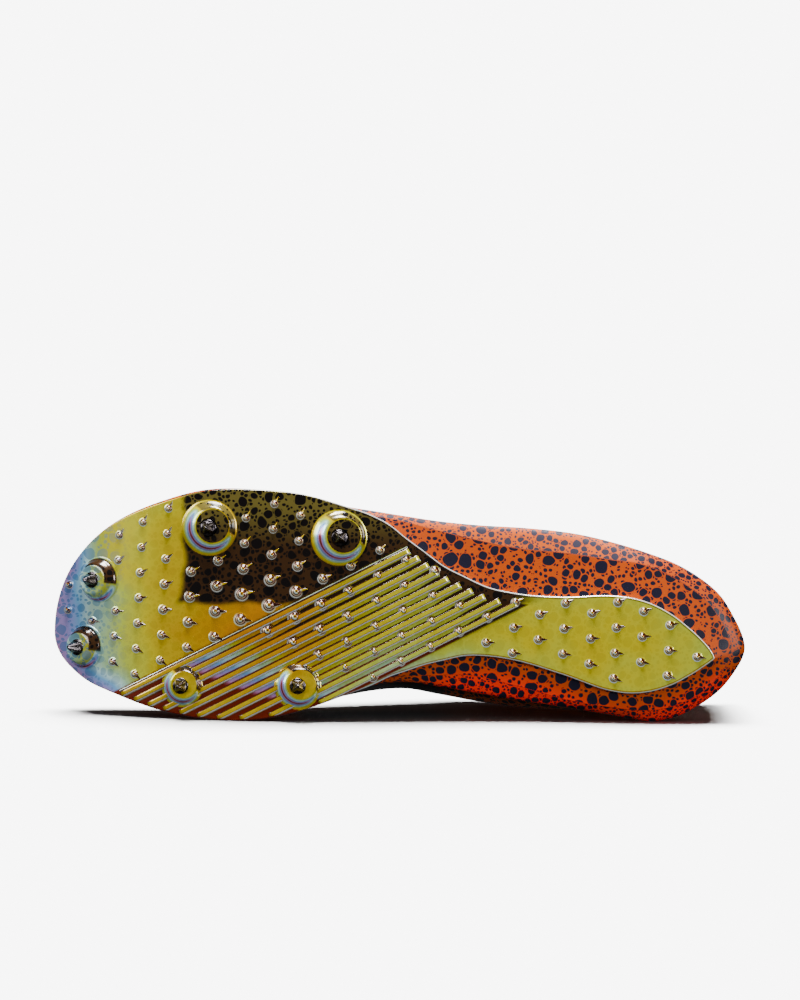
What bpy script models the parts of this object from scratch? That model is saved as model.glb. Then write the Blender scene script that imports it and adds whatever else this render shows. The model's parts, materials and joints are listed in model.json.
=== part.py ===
"""A left track spike shoe lying on its medial side, in metres with +Z up.

The shoe is modelled standing: x runs from toe to heel, y towards the inner (medial) side and z up, with
the ball of the plate at z = 0. An empty then lays the whole shoe over, onto the flat that its own convex
outline rests on. A plan offset is positive towards the outer (lateral) side, so y is its negative.
"""
import math

import bmesh
import bpy
import numpy as np
from mathutils import Matrix, Vector

for old in list(bpy.data.objects):
    bpy.data.objects.remove(old, do_unlink=True)

# Lengths and widths of the last and its sole; the foam reaches past the plate at the heel
LENGTH = 0.283
HEEL_REACH = 0.0126
PLATE_LENGTH = LENGTH - HEEL_REACH
BALL_WIDTH = 0.0946

# Heights over the ball of the plate
TOE_SPRING = 0.033
ARCH_LIFT = 0.008
HEEL_SEAT = 0.0192
FORE_FOAM = 0.0059
TOE_BOX = 0.0275
INSTEP = 0.071
BULGE_RISE = 0.012
COLLAR_LATERAL = 0.060
COLLAR_MEDIAL = 0.064
HEEL_HEIGHT = 0.080

# Walls and clearances
GAP = 0.0003
PLATE_THICKNESS = 0.0014
UPPER_WALL = 0.0016
TONGUE_THICKNESS = 0.0025
INSOLE_THICKNESS = 0.003
FEATHER_INSET = 0.0016
PLATE_OVERHANG = 0.0015
INSOLE_INSET = 0.0030
INSOLE_FRONT = 0.0072
INSOLE_BACK = 0.0036

# The foam's side wall: heights of its ridge, its bow and its widest line as shares of the wall
RIDGE_SHARE = 0.16
BOW_SHARE = 0.36
WIDEST_SHARE = 0.62

# Share of the width at the ball that stands for a usual half breadth, where an inset narrows a plan
HALF_BREADTH = 0.38

# Heel back and toe front of the upper
HEEL_LEAN = 0.009
TOE_LEAN = 0.0024

# Throat, tongue and lace
THROAT_START = 0.088
THROAT_END = 0.170
THROAT_HALF_GAP = 0.013
THROAT_ROUND = 0.010
THROAT_TAPER = 0.3
TONGUE_START = 0.076
TONGUE_STAND = 0.016
TONGUE_ROUNDING = 0.35
TONGUE_HALF_WIDTH = 0.021
EYELET_PAIRS = 7
EYELET_START = 0.097
EYELET_PITCH = 0.0115
EYELET_INSET = 0.0065
LACE_WIDTH = 0.0055
LACE_THICKNESS = 0.0013

# Where throat and collar meet: how far each cut goes on as a share of the length, the angle that
# stands for no cut, and the angle over which the corner between them is rounded
THROAT_OVERLAP = 0.03
COLLAR_OVERLAP = 0.02
NO_CUT = 2.2
CORNER_ROUND = 0.25

# Shares of the plate's thickness that bosses, ribs and studs are sunk into it
BOSS_SUNK = 0.65
RIB_SUNK = 0.4
STUD_SUNK = 0.4

# Spikes and their bosses
BOSS_RADIUS = 0.011
BOSS_HEIGHT = 0.0032
SOCKET_RADIUS = 0.0036
SOCKET_FLOOR = -0.0004
SPIKE_LENGTH = 0.006
SPIKE_TIP = 0.0004
SPIKE_PROUD = 0.0005

# Ribs and studs of the plate
RIB_COUNT = 10
RIB_PITCH = 0.00435
RIB_TURN = math.radians(26.6)
RIB_WIDTH = 0.0018
RIB_HEIGHT = 0.0008
RIB_START = 0.0269
RIB_MARGIN = 0.0022
STUD_PITCH = 0.01035
STUD_RADIUS = 0.0021
STUD_HEIGHT = 0.0015

# How finely the lofts are cut
SOLE_ROWS = 38
PLATE_COLUMNS = 10
VAMP_ROWS = 13
QUARTER_ROWS = 23
BOSS_STEPS = 14
SPIKE_STEPS = 12
STUD_SIDES = 5
RIB_REACH = 1200

# Weights of the pieces in kilograms per cubic metre, for the place where the shoe balances
DENSITY = {"plate": 1100, "spike": 7800, "foam": 180, "cloth": 450}


def named_columns(names, rows):
    """Return a table as one array for each column name."""
    return dict(zip(names, np.array(rows).T))


# Plan of the foam and the upper: station is a share of the length, offsets are shares of BALL_WIDTH
PLAN = named_columns(
    ("station", "ridge_out", "ridge_in", "foam_out", "foam_in", "upper_out", "upper_in"),
    (
        (0.000, 0.035, 0.035, 0.035, 0.035, 0.035, 0.035),
        (0.010, 0.211, -0.055, 0.217, -0.061, 0.211, -0.058),
        (0.024, 0.303, -0.104, 0.309, -0.110, 0.307, -0.108),
        (0.048, 0.402, -0.161, 0.408, -0.167, 0.411, -0.164),
        (0.084, 0.494, -0.209, 0.500, -0.215, 0.503, -0.211),
        (0.154, 0.592, -0.283, 0.598, -0.289, 0.601, -0.278),
        (0.224, 0.645, -0.321, 0.651, -0.327, 0.650, -0.311),
        (0.294, 0.645, -0.322, 0.651, -0.328, 0.648, -0.312),
        (0.364, 0.617, -0.281, 0.623, -0.286, 0.615, -0.279),
        (0.420, 0.573, -0.231, 0.580, -0.236, 0.575, -0.241),
        (0.463, 0.545, -0.186, 0.559, -0.193, 0.550, -0.218),
        (0.509, 0.518, -0.156, 0.537, -0.180, 0.529, -0.210),
        (0.558, 0.480, -0.150, 0.515, -0.200, 0.507, -0.235),
        (0.611, 0.441, -0.150, 0.499, -0.228, 0.488, -0.264),
        (0.682, 0.397, -0.195, 0.486, -0.264, 0.471, -0.293),
        (0.753, 0.376, -0.253, 0.462, -0.296, 0.444, -0.302),
        (0.822, 0.347, -0.288, 0.413, -0.332, 0.393, -0.307),
        (0.864, 0.330, -0.302, 0.373, -0.350, 0.352, -0.323),
        (0.898, 0.294, -0.295, 0.334, -0.332, 0.313, -0.309),
        (0.933, 0.238, -0.262, 0.274, -0.282, 0.252, -0.263),
        (0.965, 0.164, -0.205, 0.192, -0.211, 0.173, -0.196),
        (0.986, 0.079, -0.135, 0.090, -0.132, 0.076, -0.123),
        (1.000, -0.042, -0.042, -0.032, -0.032, -0.032, -0.032),
    ),
)

# Outline of the plate: station is a share of PLATE_LENGTH, offsets are shares of BALL_WIDTH
PLATE = named_columns(
    ("station", "out", "in"),
    (
        (0.000, 0.035, 0.035),
        (0.011, 0.229, -0.072),
        (0.025, 0.316, -0.119),
        (0.051, 0.412, -0.178),
        (0.088, 0.501, -0.226),
        (0.161, 0.595, -0.301),
        (0.234, 0.648, -0.339),
        (0.308, 0.652, -0.341),
        (0.382, 0.629, -0.296),
        (0.439, 0.583, -0.239),
        (0.484, 0.539, -0.191),
        (0.510, 0.499, -0.156),
        (0.533, 0.446, -0.134),
        (0.559, 0.391, -0.109),
        (0.591, 0.323, -0.087),
        (0.621, 0.279, -0.069),
        (0.658, 0.231, -0.070),
        (0.695, 0.207, -0.086),
        (0.768, 0.189, -0.147),
        (0.842, 0.195, -0.219),
        (0.871, 0.187, -0.230),
        (0.897, 0.168, -0.225),
        (0.934, 0.116, -0.195),
        (0.963, 0.052, -0.152),
        (0.989, -0.021, -0.104),
        (1.000, -0.078, -0.078),
    ),
)

# Heights along the length: spring, arch, fore, seat, bulge, box and instep are shares of the size
# they are named for, crest is the plan offset of the instep's ridge as a share of BALL_WIDTH, and
# full_out and full_in are the powers that make each side of a section square (low) or peaked (high)
PROFILE = named_columns(
    (
        "station", "spring", "arch", "fore", "seat", "bulge", "box", "instep", "crest",
        "full_out", "full_in",
    ),
    (
        (0.000, 1.000, 0.00, 0.55, 0.000, 0.10, 0.115, 0.000, 0.035, 0.88, 0.88),
        (0.018, 0.860, 0.00, 0.42, 0.000, 0.25, 0.380, 0.000, 0.075, 0.88, 0.88),
        (0.035, 0.727, 0.00, 0.48, 0.000, 0.35, 0.620, 0.000, 0.095, 0.88, 0.88),
        (0.088, 0.439, 0.00, 0.55, 0.000, 0.48, 1.000, 0.000, 0.115, 0.88, 0.88),
        (0.159, 0.210, 0.00, 0.67, 0.000, 0.58, 0.970, 0.113, 0.127, 0.88, 0.88),
        (0.247, 0.053, 0.00, 0.88, 0.000, 0.63, 0.720, 0.295, 0.127, 0.88, 0.88),
        (0.318, 0.000, 0.00, 1.00, 0.000, 0.67, 0.500, 0.476, 0.127, 0.88, 0.88),
        (0.389, 0.000, 0.06, 0.79, 0.150, 0.74, 0.300, 0.650, 0.134, 0.88, 0.88),
        (0.459, 0.000, 0.28, 0.58, 0.345, 0.80, 0.130, 0.797, 0.134, 0.88, 0.88),
        (0.530, 0.000, 0.61, 0.36, 0.565, 0.86, 0.030, 0.910, 0.126, 0.88, 0.86),
        (0.601, 0.000, 0.86, 0.18, 0.765, 0.92, 0.000, 1.000, 0.108, 0.92, 0.80),
        (0.671, 0.000, 1.00, 0.05, 0.905, 0.96, 0.000, 1.095, 0.083, 1.02, 0.70),
        (0.742, 0.000, 1.00, 0.00, 0.985, 1.00, 0.000, 1.150, 0.055, 1.18, 0.58),
        (0.795, 0.000, 0.91, 0.00, 1.000, 1.00, 0.000, 1.165, 0.036, 1.22, 0.68),
        (0.848, 0.000, 0.80, 0.00, 1.000, 1.00, 0.000, 1.170, 0.016, 1.14, 0.90),
        (0.919, 0.000, 0.93, 0.00, 1.000, 1.03, 0.000, 1.165, -0.010, 1.00, 1.00),
        (1.000, 0.000, 1.40, 0.00, 1.000, 1.05, 0.000, 1.150, -0.032, 0.88, 0.88),
    ),
)

# Top line of the collar: shares of the throat's top height, the collar's dip and the heel's height
COLLAR = named_columns(
    ("station", "front", "dip", "back"),
    (
        (0.000, 1.00, 0.00, 0.00),
        (0.600, 1.00, 0.00, 0.00),
        (0.640, 0.66, 0.34, 0.00),
        (0.680, 0.33, 0.67, 0.00),
        (0.720, 0.10, 0.90, 0.00),
        (0.760, 0.00, 1.00, 0.00),
        (0.810, 0.00, 0.95, 0.05),
        (0.860, 0.00, 0.72, 0.28),
        (0.910, 0.00, 0.38, 0.62),
        (0.950, 0.00, 0.12, 0.88),
        (1.000, 0.00, 0.00, 1.00),
    ),
)

# Spike bosses: along is a share of PLATE_LENGTH, across of BALL_WIDTH, radius of BOSS_RADIUS
BOSSES = {
    "toe_lateral": {"along": 0.0636, "across": 0.262, "radius": 0.82},
    "toe_medial": {"along": 0.0420, "across": -0.030, "radius": 0.80},
    "ball_lateral_front": {"along": 0.2367, "across": 0.487, "radius": 1.00},
    "ball_lateral_rear": {"along": 0.4323, "across": 0.444, "radius": 1.00},
    "ball_medial_front": {"along": 0.1956, "across": -0.196, "radius": 0.76},
    "ball_medial_rear": {"along": 0.3698, "across": -0.196, "radius": 0.84},
}

# Rows of studs: along is a share of PLATE_LENGTH and first the outermost stud's share of BALL_WIDTH
STUD_ROWS = named_columns(
    ("along", "first", "count"),
    (
        (0.023, 0.240, 2),
        (0.058, 0.084, 1),
        (0.100, 0.455, 7),
        (0.136, 0.511, 7),
        (0.175, 0.571, 7),
        (0.209, 0.298, 4),
        (0.250, 0.345, 4),
        (0.292, 0.529, 5),
        (0.335, 0.590, 6),
        (0.374, 0.540, 6),
        (0.408, 0.267, 4),
        (0.450, 0.323, 6),
        (0.494, 0.390, 6),
        (0.534, 0.348, 5),
        (0.577, 0.302, 4),
        (0.618, 0.258, 3),
        (0.659, 0.210, 3),
        (0.699, 0.165, 3),
        (0.736, 0.113, 3),
        (0.775, 0.161, 3),
        (0.815, 0.118, 3),
        (0.854, 0.165, 4),
        (0.893, 0.126, 4),
        (0.933, 0.067, 3),
        (0.974, -0.071, 1),
    ),
)


def read(table, column, station):
    """Return a table's column at any station, by cubic curves through its rows.

    The stations are turned to the angle whose cosine they are, which rounds off both ends.
    """
    nodes = np.arccos(1 - 2 * table["station"]) / math.pi
    place = np.arccos(1 - 2 * np.clip(station, 0, 1)) / math.pi
    values = table[column]
    slopes = np.gradient(values, nodes, edge_order=2)
    low = np.clip(np.searchsorted(nodes, place, side="right") - 1, 0, len(nodes) - 2)
    width = nodes[low + 1] - nodes[low]
    u = (place - nodes[low]) / width
    start = values[low] * (1 + 2 * u) * (1 - u) ** 2 + slopes[low] * width * u * (1 - u) ** 2
    end = values[low + 1] * u**2 * (3 - 2 * u) - slopes[low + 1] * width * u**2 * (1 - u)
    return start + end


def cosine_rows(count):
    """Return stations from 0 to 1 that crowd towards both ends."""
    return (1 - np.cos(np.linspace(0, math.pi, count))) / 2


def plate_bottom(x):
    """Return the height of the plate's underside at a length from the toe."""
    station = x / LENGTH
    return TOE_SPRING * read(PROFILE, "spring", station) + ARCH_LIFT * read(PROFILE, "arch", station)


def plate_slope(x):
    """Return how steeply the plate's underside climbs along the shoe."""
    step = 0.001 * LENGTH
    low = np.clip(x - step, 0, LENGTH)
    high = np.clip(x + step, 0, LENGTH)
    return (plate_bottom(high) - plate_bottom(low)) / (high - low)


def plate_top(x):
    """Return the height of the plate's upper face, one thickness square to its underside."""
    return plate_bottom(x) + PLATE_THICKNESS * np.hypot(1, plate_slope(x))


def feather(station):
    """Return the height of the line where the foam's top edge meets the upper."""
    fore = (PLATE_THICKNESS + FORE_FOAM) * read(PROFILE, "fore", station)
    seat = HEEL_SEAT * read(PROFILE, "seat", station)
    return TOE_SPRING * read(PROFILE, "spring", station) + fore + seat


def bulge(station):
    """Return the height of the upper's widest line."""
    return feather(station) + BULGE_RISE * read(PROFILE, "bulge", station)


def crest(station):
    """Return the height of the last's ridge, which goes on over the open collar."""
    rise = TOE_BOX * read(PROFILE, "box", station) + INSTEP * read(PROFILE, "instep", station)
    return feather(station) + rise


def middle(station):
    """Return the plan offset of the last's ridge."""
    return BALL_WIDTH * read(PROFILE, "crest", station)


def feather_offset(station, side):
    """Return the plan offset of the feather line, one inset inside the foam's widest line."""
    name = "foam_out" if side > 0 else "foam_in"
    wide = BALL_WIDTH * read(PLAN, name, station) - middle(station)
    return middle(station) + wide * (1 - FEATHER_INSET / (HALF_BREADTH * BALL_WIDTH))


def feather_along(station):
    """Return the length from the toe of the feather line at a station."""
    return FEATHER_INSET + (LENGTH - 2 * FEATHER_INSET) * station


def collar_height(station, side):
    """Return the height of the collar's top line on one side."""
    dip = COLLAR_LATERAL if side > 0 else COLLAR_MEDIAL
    front = crest(THROAT_END / LENGTH)
    return (
        front * read(COLLAR, "front", station)
        + dip * read(COLLAR, "dip", station)
        + HEEL_HEIGHT * read(COLLAR, "back", station)
    )


def throat_gap(x):
    """Return half the throat's width, round at its front end and wider towards the collar."""
    past = np.clip(x - THROAT_START, 0, None)
    rounding = np.sqrt(1 - (1 - np.clip(past / THROAT_ROUND, 0, 1)) ** 2)
    widening = 1 - THROAT_TAPER + THROAT_TAPER * past / (THROAT_END - THROAT_START)
    return THROAT_HALF_GAP * rounding * widening


def half_breadth(station, side):
    """Return how far the upper's widest line is from the ridge in plan, negative on the inner side."""
    name = "upper_out" if side > 0 else "upper_in"
    return BALL_WIDTH * read(PLAN, name, station) - middle(station)


def fullness(station, side):
    """Return the power that shapes one side of a section."""
    return read(PROFILE, "full_out" if side > 0 else "full_in", station)


def arch_point(station, side, angle):
    """Return a point of the last over its widest line, angle 0 there and 90 degrees on the ridge."""
    power = fullness(station, side)
    offset = middle(station) + half_breadth(station, side) * np.clip(np.cos(angle), 0, 1) ** power
    rise = np.sin(angle) ** power
    height = bulge(station) + (crest(station) - bulge(station)) * rise
    front = FEATHER_INSET + TOE_LEAN * rise
    back = LENGTH - FEATHER_INSET - HEEL_LEAN * rise**1.8
    return np.stack([front + (back - front) * station, -offset, height], axis=-1)


def cut_angle(station, side):
    """Return the angle where the upper ends: at the ridge, the throat or the collar."""
    power = fullness(station, side)
    breadth = np.abs(half_breadth(station, side))
    share = np.clip(throat_gap(station * LENGTH) / np.maximum(breadth, THROAT_HALF_GAP), 0, 1)
    beyond = station > THROAT_END / LENGTH + THROAT_OVERLAP
    throat = np.where(beyond, NO_CUT, np.arccos(share ** (1 / power)))
    height = collar_height(station, side)
    rise = (height - bulge(station)) / (crest(station) - bulge(station))
    whole = rise >= 1
    collar = np.arcsin(np.clip(rise, 0, 1) ** (1 / power))
    before = station < THROAT_END / LENGTH - COLLAR_OVERLAP
    collar = np.where(whole | before, NO_CUT, collar)
    blend = np.clip(CORNER_ROUND - np.abs(throat - collar), 0, None) ** 2
    return np.minimum(throat, collar) - blend


def side_wall(station, side, tuck_cuts, arch_cuts):
    """Return one half of the upper as a grid: rows along the shoe, columns from feather to rim."""
    foot = feather_offset(station, side)
    name = "upper_out" if side > 0 else "upper_in"
    wide = BALL_WIDTH * read(PLAN, name, station)
    low = feather(station) + GAP
    high = bulge(station)
    columns = []
    for share in np.linspace(0, 1, tuck_cuts + 1)[:-1]:
        offset = wide - (wide - foot) * (1 - share) ** 2
        height = low + (high - low) * share
        columns.append(np.stack([feather_along(station), -offset, height], axis=-1))
    limit = cut_angle(station, side)
    for share in np.linspace(0, 1, arch_cuts + 1):
        columns.append(arch_point(station, side, limit * share))
    return np.stack(columns, axis=1)


def new_object(name, mesh, collection):
    """Link a mesh object and return it."""
    item = bpy.data.objects.new(name, mesh)
    collection.objects.link(item)
    return item


def mesh_from_grids(name, grids, joined=0.00002):
    """Return a mesh of one or more grids of points, with points that meet merged."""
    points = []
    faces = []
    for grid in grids:
        rows, columns = grid.shape[:2]
        index = np.arange(rows * columns).reshape(rows, columns) + sum(len(p) for p in points)
        corners = [index[:-1, :-1], index[1:, :-1], index[1:, 1:], index[:-1, 1:]]
        faces.extend(np.stack(corners, axis=-1).reshape(-1, 4).tolist())
        points.append(grid.reshape(-1, 3))
    mesh = bpy.data.meshes.new(name)
    mesh.from_pydata(np.concatenate(points).tolist(), [], faces)
    shape = bmesh.new()
    shape.from_mesh(mesh)
    bmesh.ops.remove_doubles(shape, verts=shape.verts, dist=joined)
    bmesh.ops.dissolve_degenerate(shape, edges=shape.edges, dist=joined)
    bmesh.ops.recalc_face_normals(shape, faces=shape.faces)
    bmesh.ops.triangulate(shape, faces=shape.faces)
    shape.to_mesh(mesh)
    shape.free()
    return mesh


def closed_loft(name, rings):
    """Return a closed mesh through closed rings whose first and last fold flat."""
    grid = np.concatenate([rings, rings[:, :1]], axis=1)
    return mesh_from_grids(name, [grid])


def face_out(mesh, direction):
    """Turn an open mesh so that its faces look along a direction on the whole."""
    shape = bmesh.new()
    shape.from_mesh(mesh)
    total = sum((face.normal * face.calc_area() for face in shape.faces), Vector())
    if total.dot(Vector(direction)) < 0:
        bmesh.ops.reverse_faces(shape, faces=shape.faces)
    shape.to_mesh(mesh)
    shape.free()


def solidify(item, thickness):
    """Give an open surface a wall on its inner side."""
    wall = item.modifiers.new("Wall", "SOLIDIFY")
    wall.thickness = thickness
    wall.offset = -1
    wall.use_rim = True


def boolean(item, other, operation):
    """Join a shape to an object or cut it away, with the exact solver."""
    step = item.modifiers.new(operation.title(), "BOOLEAN")
    step.operation = operation
    step.solver = "EXACT"
    step.object = other


def material(name, colour, roughness, metallic=0.0):
    """Return a plain Principled material."""
    finish = bpy.data.materials.new(name)
    finish.use_nodes = True
    shader = finish.node_tree.nodes["Principled BSDF"]
    shader.inputs["Base Color"].default_value = (*colour, 1)
    shader.inputs["Roughness"].default_value = roughness
    shader.inputs["Metallic"].default_value = metallic
    return finish


def turned(name, profile, steps):
    """Return a mesh turned about Z from a profile that runs from the axis to the axis."""
    turns = np.linspace(0, 2 * math.pi, steps + 1)
    radius, height = np.array(profile).T
    grid = np.stack(
        [
            np.outer(np.cos(turns), radius),
            np.outer(np.sin(turns), radius),
            np.outer(np.ones_like(turns), height),
        ],
        axis=-1,
    )
    return mesh_from_grids(name, [grid])


def on_plate(x, offset):
    """Return a matrix at a place of the plate's underside, its Z pointing out of the sole."""
    slope = float(plate_slope(x))
    out = Vector((slope, 0, -1)).normalized()
    side = Vector((0, 1, 0))
    frame = Matrix((side.cross(out), side, out)).transposed().to_4x4()
    frame.translation = Vector((x, -offset, float(plate_bottom(x))))
    return frame


def moved(mesh, frame):
    """Carry a mesh's points by a matrix and return the mesh."""
    mesh.transform(frame)
    return mesh


def plate_mesh():
    """Return the plate's underside as an open surface that closes to a point at both ends."""
    station = cosine_rows(SOLE_ROWS)
    across = np.sin(np.linspace(-1, 1, PLATE_COLUMNS) * math.pi / 2)
    outer = BALL_WIDTH * read(PLATE, "out", station)
    inner = BALL_WIDTH * read(PLATE, "in", station)
    x = np.outer(PLATE_LENGTH * station, np.ones(PLATE_COLUMNS))
    offset = np.outer((outer + inner) / 2, np.ones(PLATE_COLUMNS))
    offset += np.outer((outer - inner) / 2, across)
    mesh = mesh_from_grids("outsole_plate", [np.stack([x, -offset, plate_bottom(x)], axis=-1)])
    face_out(mesh, (0, 0, -1))
    return mesh


def boss_profile(radius):
    """Return the boss's outline: buried base, swept flank and flat rim."""
    buried = -BOSS_SUNK * PLATE_THICKNESS
    return (
        (0, buried),
        (radius, buried),
        (0.98 * radius, 0.08 * BOSS_HEIGHT),
        (0.84 * radius, 0.38 * BOSS_HEIGHT),
        (0.70 * radius, 0.90 * BOSS_HEIGHT),
        (0.64 * radius, BOSS_HEIGHT),
        (0, BOSS_HEIGHT),
    )


def boss_place(row):
    """Return where a boss stands and how it leans."""
    return on_plate(PLATE_LENGTH * row["along"], BALL_WIDTH * row["across"])


def plate_edges(x):
    """Return the plate's outer and inner plan offsets at a length from the toe."""
    station = np.clip(x / PLATE_LENGTH, 0, 1)
    return BALL_WIDTH * read(PLATE, "out", station), BALL_WIDTH * read(PLATE, "in", station)


def rib_mesh(number):
    """Return one slanting rib: a bar that follows the underside from edge to edge."""
    along = np.array([math.cos(RIB_TURN), math.sin(RIB_TURN)])
    square = np.array([math.sin(RIB_TURN), -math.cos(RIB_TURN)])
    first = np.array([RIB_START, float(plate_edges(RIB_START)[1])])
    start = first + square * RIB_PITCH * number
    reach = np.linspace(-0.3 * LENGTH, LENGTH, RIB_REACH)
    path = start + np.outer(reach, along)
    outer, inner = plate_edges(path[:, 0])
    on = (path[:, 0] > 0) & (path[:, 0] < PLATE_LENGTH)
    on &= (path[:, 1] < outer - RIB_MARGIN) & (path[:, 1] > inner + 0.5 * RIB_MARGIN)
    kept = path[on]
    cuts = max(3, int(np.linalg.norm(kept[-1] - kept[0]) / (0.055 * LENGTH)) + 1)
    share = np.linspace(0, 1, cuts)
    line = kept[0] + np.outer(share, kept[-1] - kept[0])
    rings = []
    sunk = -RIB_SUNK * PLATE_THICKNESS
    for half, depth in ((-0.65, sunk), (-0.5, RIB_HEIGHT), (0.5, RIB_HEIGHT), (0.65, sunk)):
        spot = line + square * RIB_WIDTH * half
        rings.append(np.stack([spot[:, 0], -spot[:, 1], plate_bottom(spot[:, 0]) - depth], axis=-1))
    rings = np.stack(rings, axis=1)
    caps = [ring[[0, 1, 3, 2]].reshape(2, 2, 3) for ring in (rings[0], rings[-1])]
    grid = np.concatenate([rings, rings[:, :1]], axis=1)
    return mesh_from_grids("rib", [grid, *caps])


def stud_places():
    """Return the plan places of the studs that stand clear of the bosses and the edge."""
    places = []
    for along, first, count in zip(STUD_ROWS["along"], STUD_ROWS["first"], STUD_ROWS["count"]):
        for number in range(int(count)):
            x = PLATE_LENGTH * along - 0.055 * STUD_PITCH * number
            offset = BALL_WIDTH * first - STUD_PITCH * number
            outer, inner = plate_edges(x)
            inside = inner + 1.2 * STUD_RADIUS < offset < outer - 1.2 * STUD_RADIUS
            clear = all(
                math.hypot(x - PLATE_LENGTH * row["along"], offset - BALL_WIDTH * row["across"])
                > BOSS_RADIUS * row["radius"] + 0.6 * STUD_RADIUS
                for row in BOSSES.values()
            )
            if inside and clear:
                places.append((x, offset))
    return places


def stud_mesh(x, offset):
    """Return one low cone with a blunt tip."""
    shape = bmesh.new()
    sunk = STUD_SUNK * PLATE_THICKNESS
    bmesh.ops.create_cone(
        shape,
        cap_ends=True,
        segments=STUD_SIDES,
        radius1=STUD_RADIUS,
        radius2=0.3 * STUD_RADIUS,
        depth=STUD_HEIGHT + sunk,
        matrix=on_plate(x, offset) @ Matrix.Translation((0, 0, (STUD_HEIGHT - sunk) / 2)),
    )
    mesh = bpy.data.meshes.new("stud")
    shape.to_mesh(mesh)
    shape.free()
    return mesh


def join_meshes(name, meshes):
    """Return one mesh that holds several closed shapes side by side."""
    shape = bmesh.new()
    for mesh in meshes:
        shape.from_mesh(mesh)
    joined = bpy.data.meshes.new(name)
    bmesh.ops.triangulate(shape, faces=shape.faces)
    shape.to_mesh(joined)
    shape.free()
    return joined


def build_plate(collection, cutters, finish):
    """Make the plate with its bosses, ribs and studs joined and its sockets cut."""
    plate = new_object("outsole_plate", plate_mesh(), collection)
    plate.data.materials.append(finish)
    solidify(plate, PLATE_THICKNESS)
    bosses = []
    sockets = []
    high = 2 * (BOSS_HEIGHT - SOCKET_FLOOR)
    socket_profile = ((0, SOCKET_FLOOR), (SOCKET_RADIUS, SOCKET_FLOOR), (SOCKET_RADIUS, high), (0, high))
    for row in BOSSES.values():
        boss = turned("boss", boss_profile(BOSS_RADIUS * row["radius"]), BOSS_STEPS)
        bosses.append(moved(boss, boss_place(row)))
        socket = turned("socket", socket_profile, BOSS_STEPS)
        sockets.append(moved(socket, boss_place(row)))
    ribs = [rib_mesh(number) for number in range(RIB_COUNT)]
    studs = [stud_mesh(x, offset) for x, offset in stud_places()]
    for name, meshes, operation in (
        ("boss_bodies", bosses, "UNION"),
        ("rib_bodies", ribs, "UNION"),
        ("stud_bodies", studs, "UNION"),
        ("socket_cutters", sockets, "DIFFERENCE"),
    ):
        cutter = new_object(name, join_meshes(name, meshes), cutters)
        cutter.hide_render = True
        cutter.display_type = "WIRE"
        boolean(plate, cutter, operation)
    return plate


def build_spike(name, row, collection, cutters, finish):
    """Make one spike: a round collar in the socket with a four-sided point on it."""
    radius = SOCKET_RADIUS - GAP
    foot = SOCKET_FLOOR + GAP
    top = BOSS_HEIGHT + SPIKE_PROUD
    profile = ((0, foot), (radius, foot), (radius, top - 0.1 * radius), (0.9 * radius, top), (0, top))
    spike = new_object(name, moved(turned(name, profile, SPIKE_STEPS), boss_place(row)), collection)
    spike.data.materials.append(finish)
    sunk = 0.3 * BOSS_HEIGHT
    shape = bmesh.new()
    bmesh.ops.create_cone(
        shape,
        cap_ends=True,
        segments=4,
        radius1=0.84 * radius,
        radius2=SPIKE_TIP,
        depth=SPIKE_LENGTH + sunk,
        matrix=boss_place(row) @ Matrix.Translation((0, 0, top + (SPIKE_LENGTH - sunk) / 2)),
    )
    mesh = bpy.data.meshes.new(name + "_point")
    shape.to_mesh(mesh)
    shape.free()
    point = new_object(name + "_point", mesh, cutters)
    point.hide_render = True
    point.display_type = "WIRE"
    boolean(spike, point, "UNION")
    return spike


def ridge_along(station):
    """Return the length from the toe of the foam's ridge line at a station."""
    return 0.4 * FEATHER_INSET + (LENGTH - 4 * FEATHER_INSET) * station


def ridge_station(x):
    """Return the ridge line's station at a length from the toe."""
    return (x - 0.4 * FEATHER_INSET) / (LENGTH - 4 * FEATHER_INSET)


def half_ring(station, side):
    """Return half of the foam's ring: under the plate, out to the ridge, up to the feather line."""
    plate_side, ridge_side, foam_side = (
        ("out", "ridge_out", "foam_out") if side > 0 else ("in", "ridge_in", "foam_in")
    )
    centre = middle(station)
    ridge_x = ridge_along(station)
    ridge = BALL_WIDTH * read(PLAN, ridge_side, station)
    plate_x = PLATE_LENGTH * station
    fade = np.clip(np.sin(math.pi * station), 0, 1) ** 0.5
    ridge_there = BALL_WIDTH * read(PLAN, ridge_side, ridge_station(plate_x))
    edge = BALL_WIDTH * read(PLATE, plate_side, station)
    under_plate = side * edge - PLATE_OVERHANG * fade
    under_ridge = side * ridge_there - 0.3 * PLATE_OVERHANG * fade
    land = side * np.minimum(under_plate, under_ridge)
    seat_mid = BALL_WIDTH * (read(PLATE, "out", station) + read(PLATE, "in", station)) / 2
    foam_x = LENGTH * station
    foam = BALL_WIDTH * read(PLAN, foam_side, station)
    foot = feather_offset(station, side)
    foot_x = feather_along(station)
    low = plate_top(plate_x) + GAP
    side_low = plate_top(ridge_x) + GAP
    high = feather(station)
    points = []
    for share in (0.5, 1.0):
        points.append((plate_x, seat_mid + (land - seat_mid) * share, low))
    points.append((ridge_x, ridge, side_low + (high - side_low) * RIDGE_SHARE))
    bow = side_low + (high - side_low) * BOW_SHARE
    points.append(((ridge_x + 2 * foam_x) / 3, ridge + (foam - ridge) * 0.72, bow))
    points.append((foam_x, foam, side_low + (high - side_low) * WIDEST_SHARE))
    points.append((foot_x, foot, high))
    points.append((foot_x, centre + (foot - centre) * 0.5, high))
    return [np.stack([x * np.ones_like(station), -offset, z], axis=-1) for x, offset, z in points]


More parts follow.
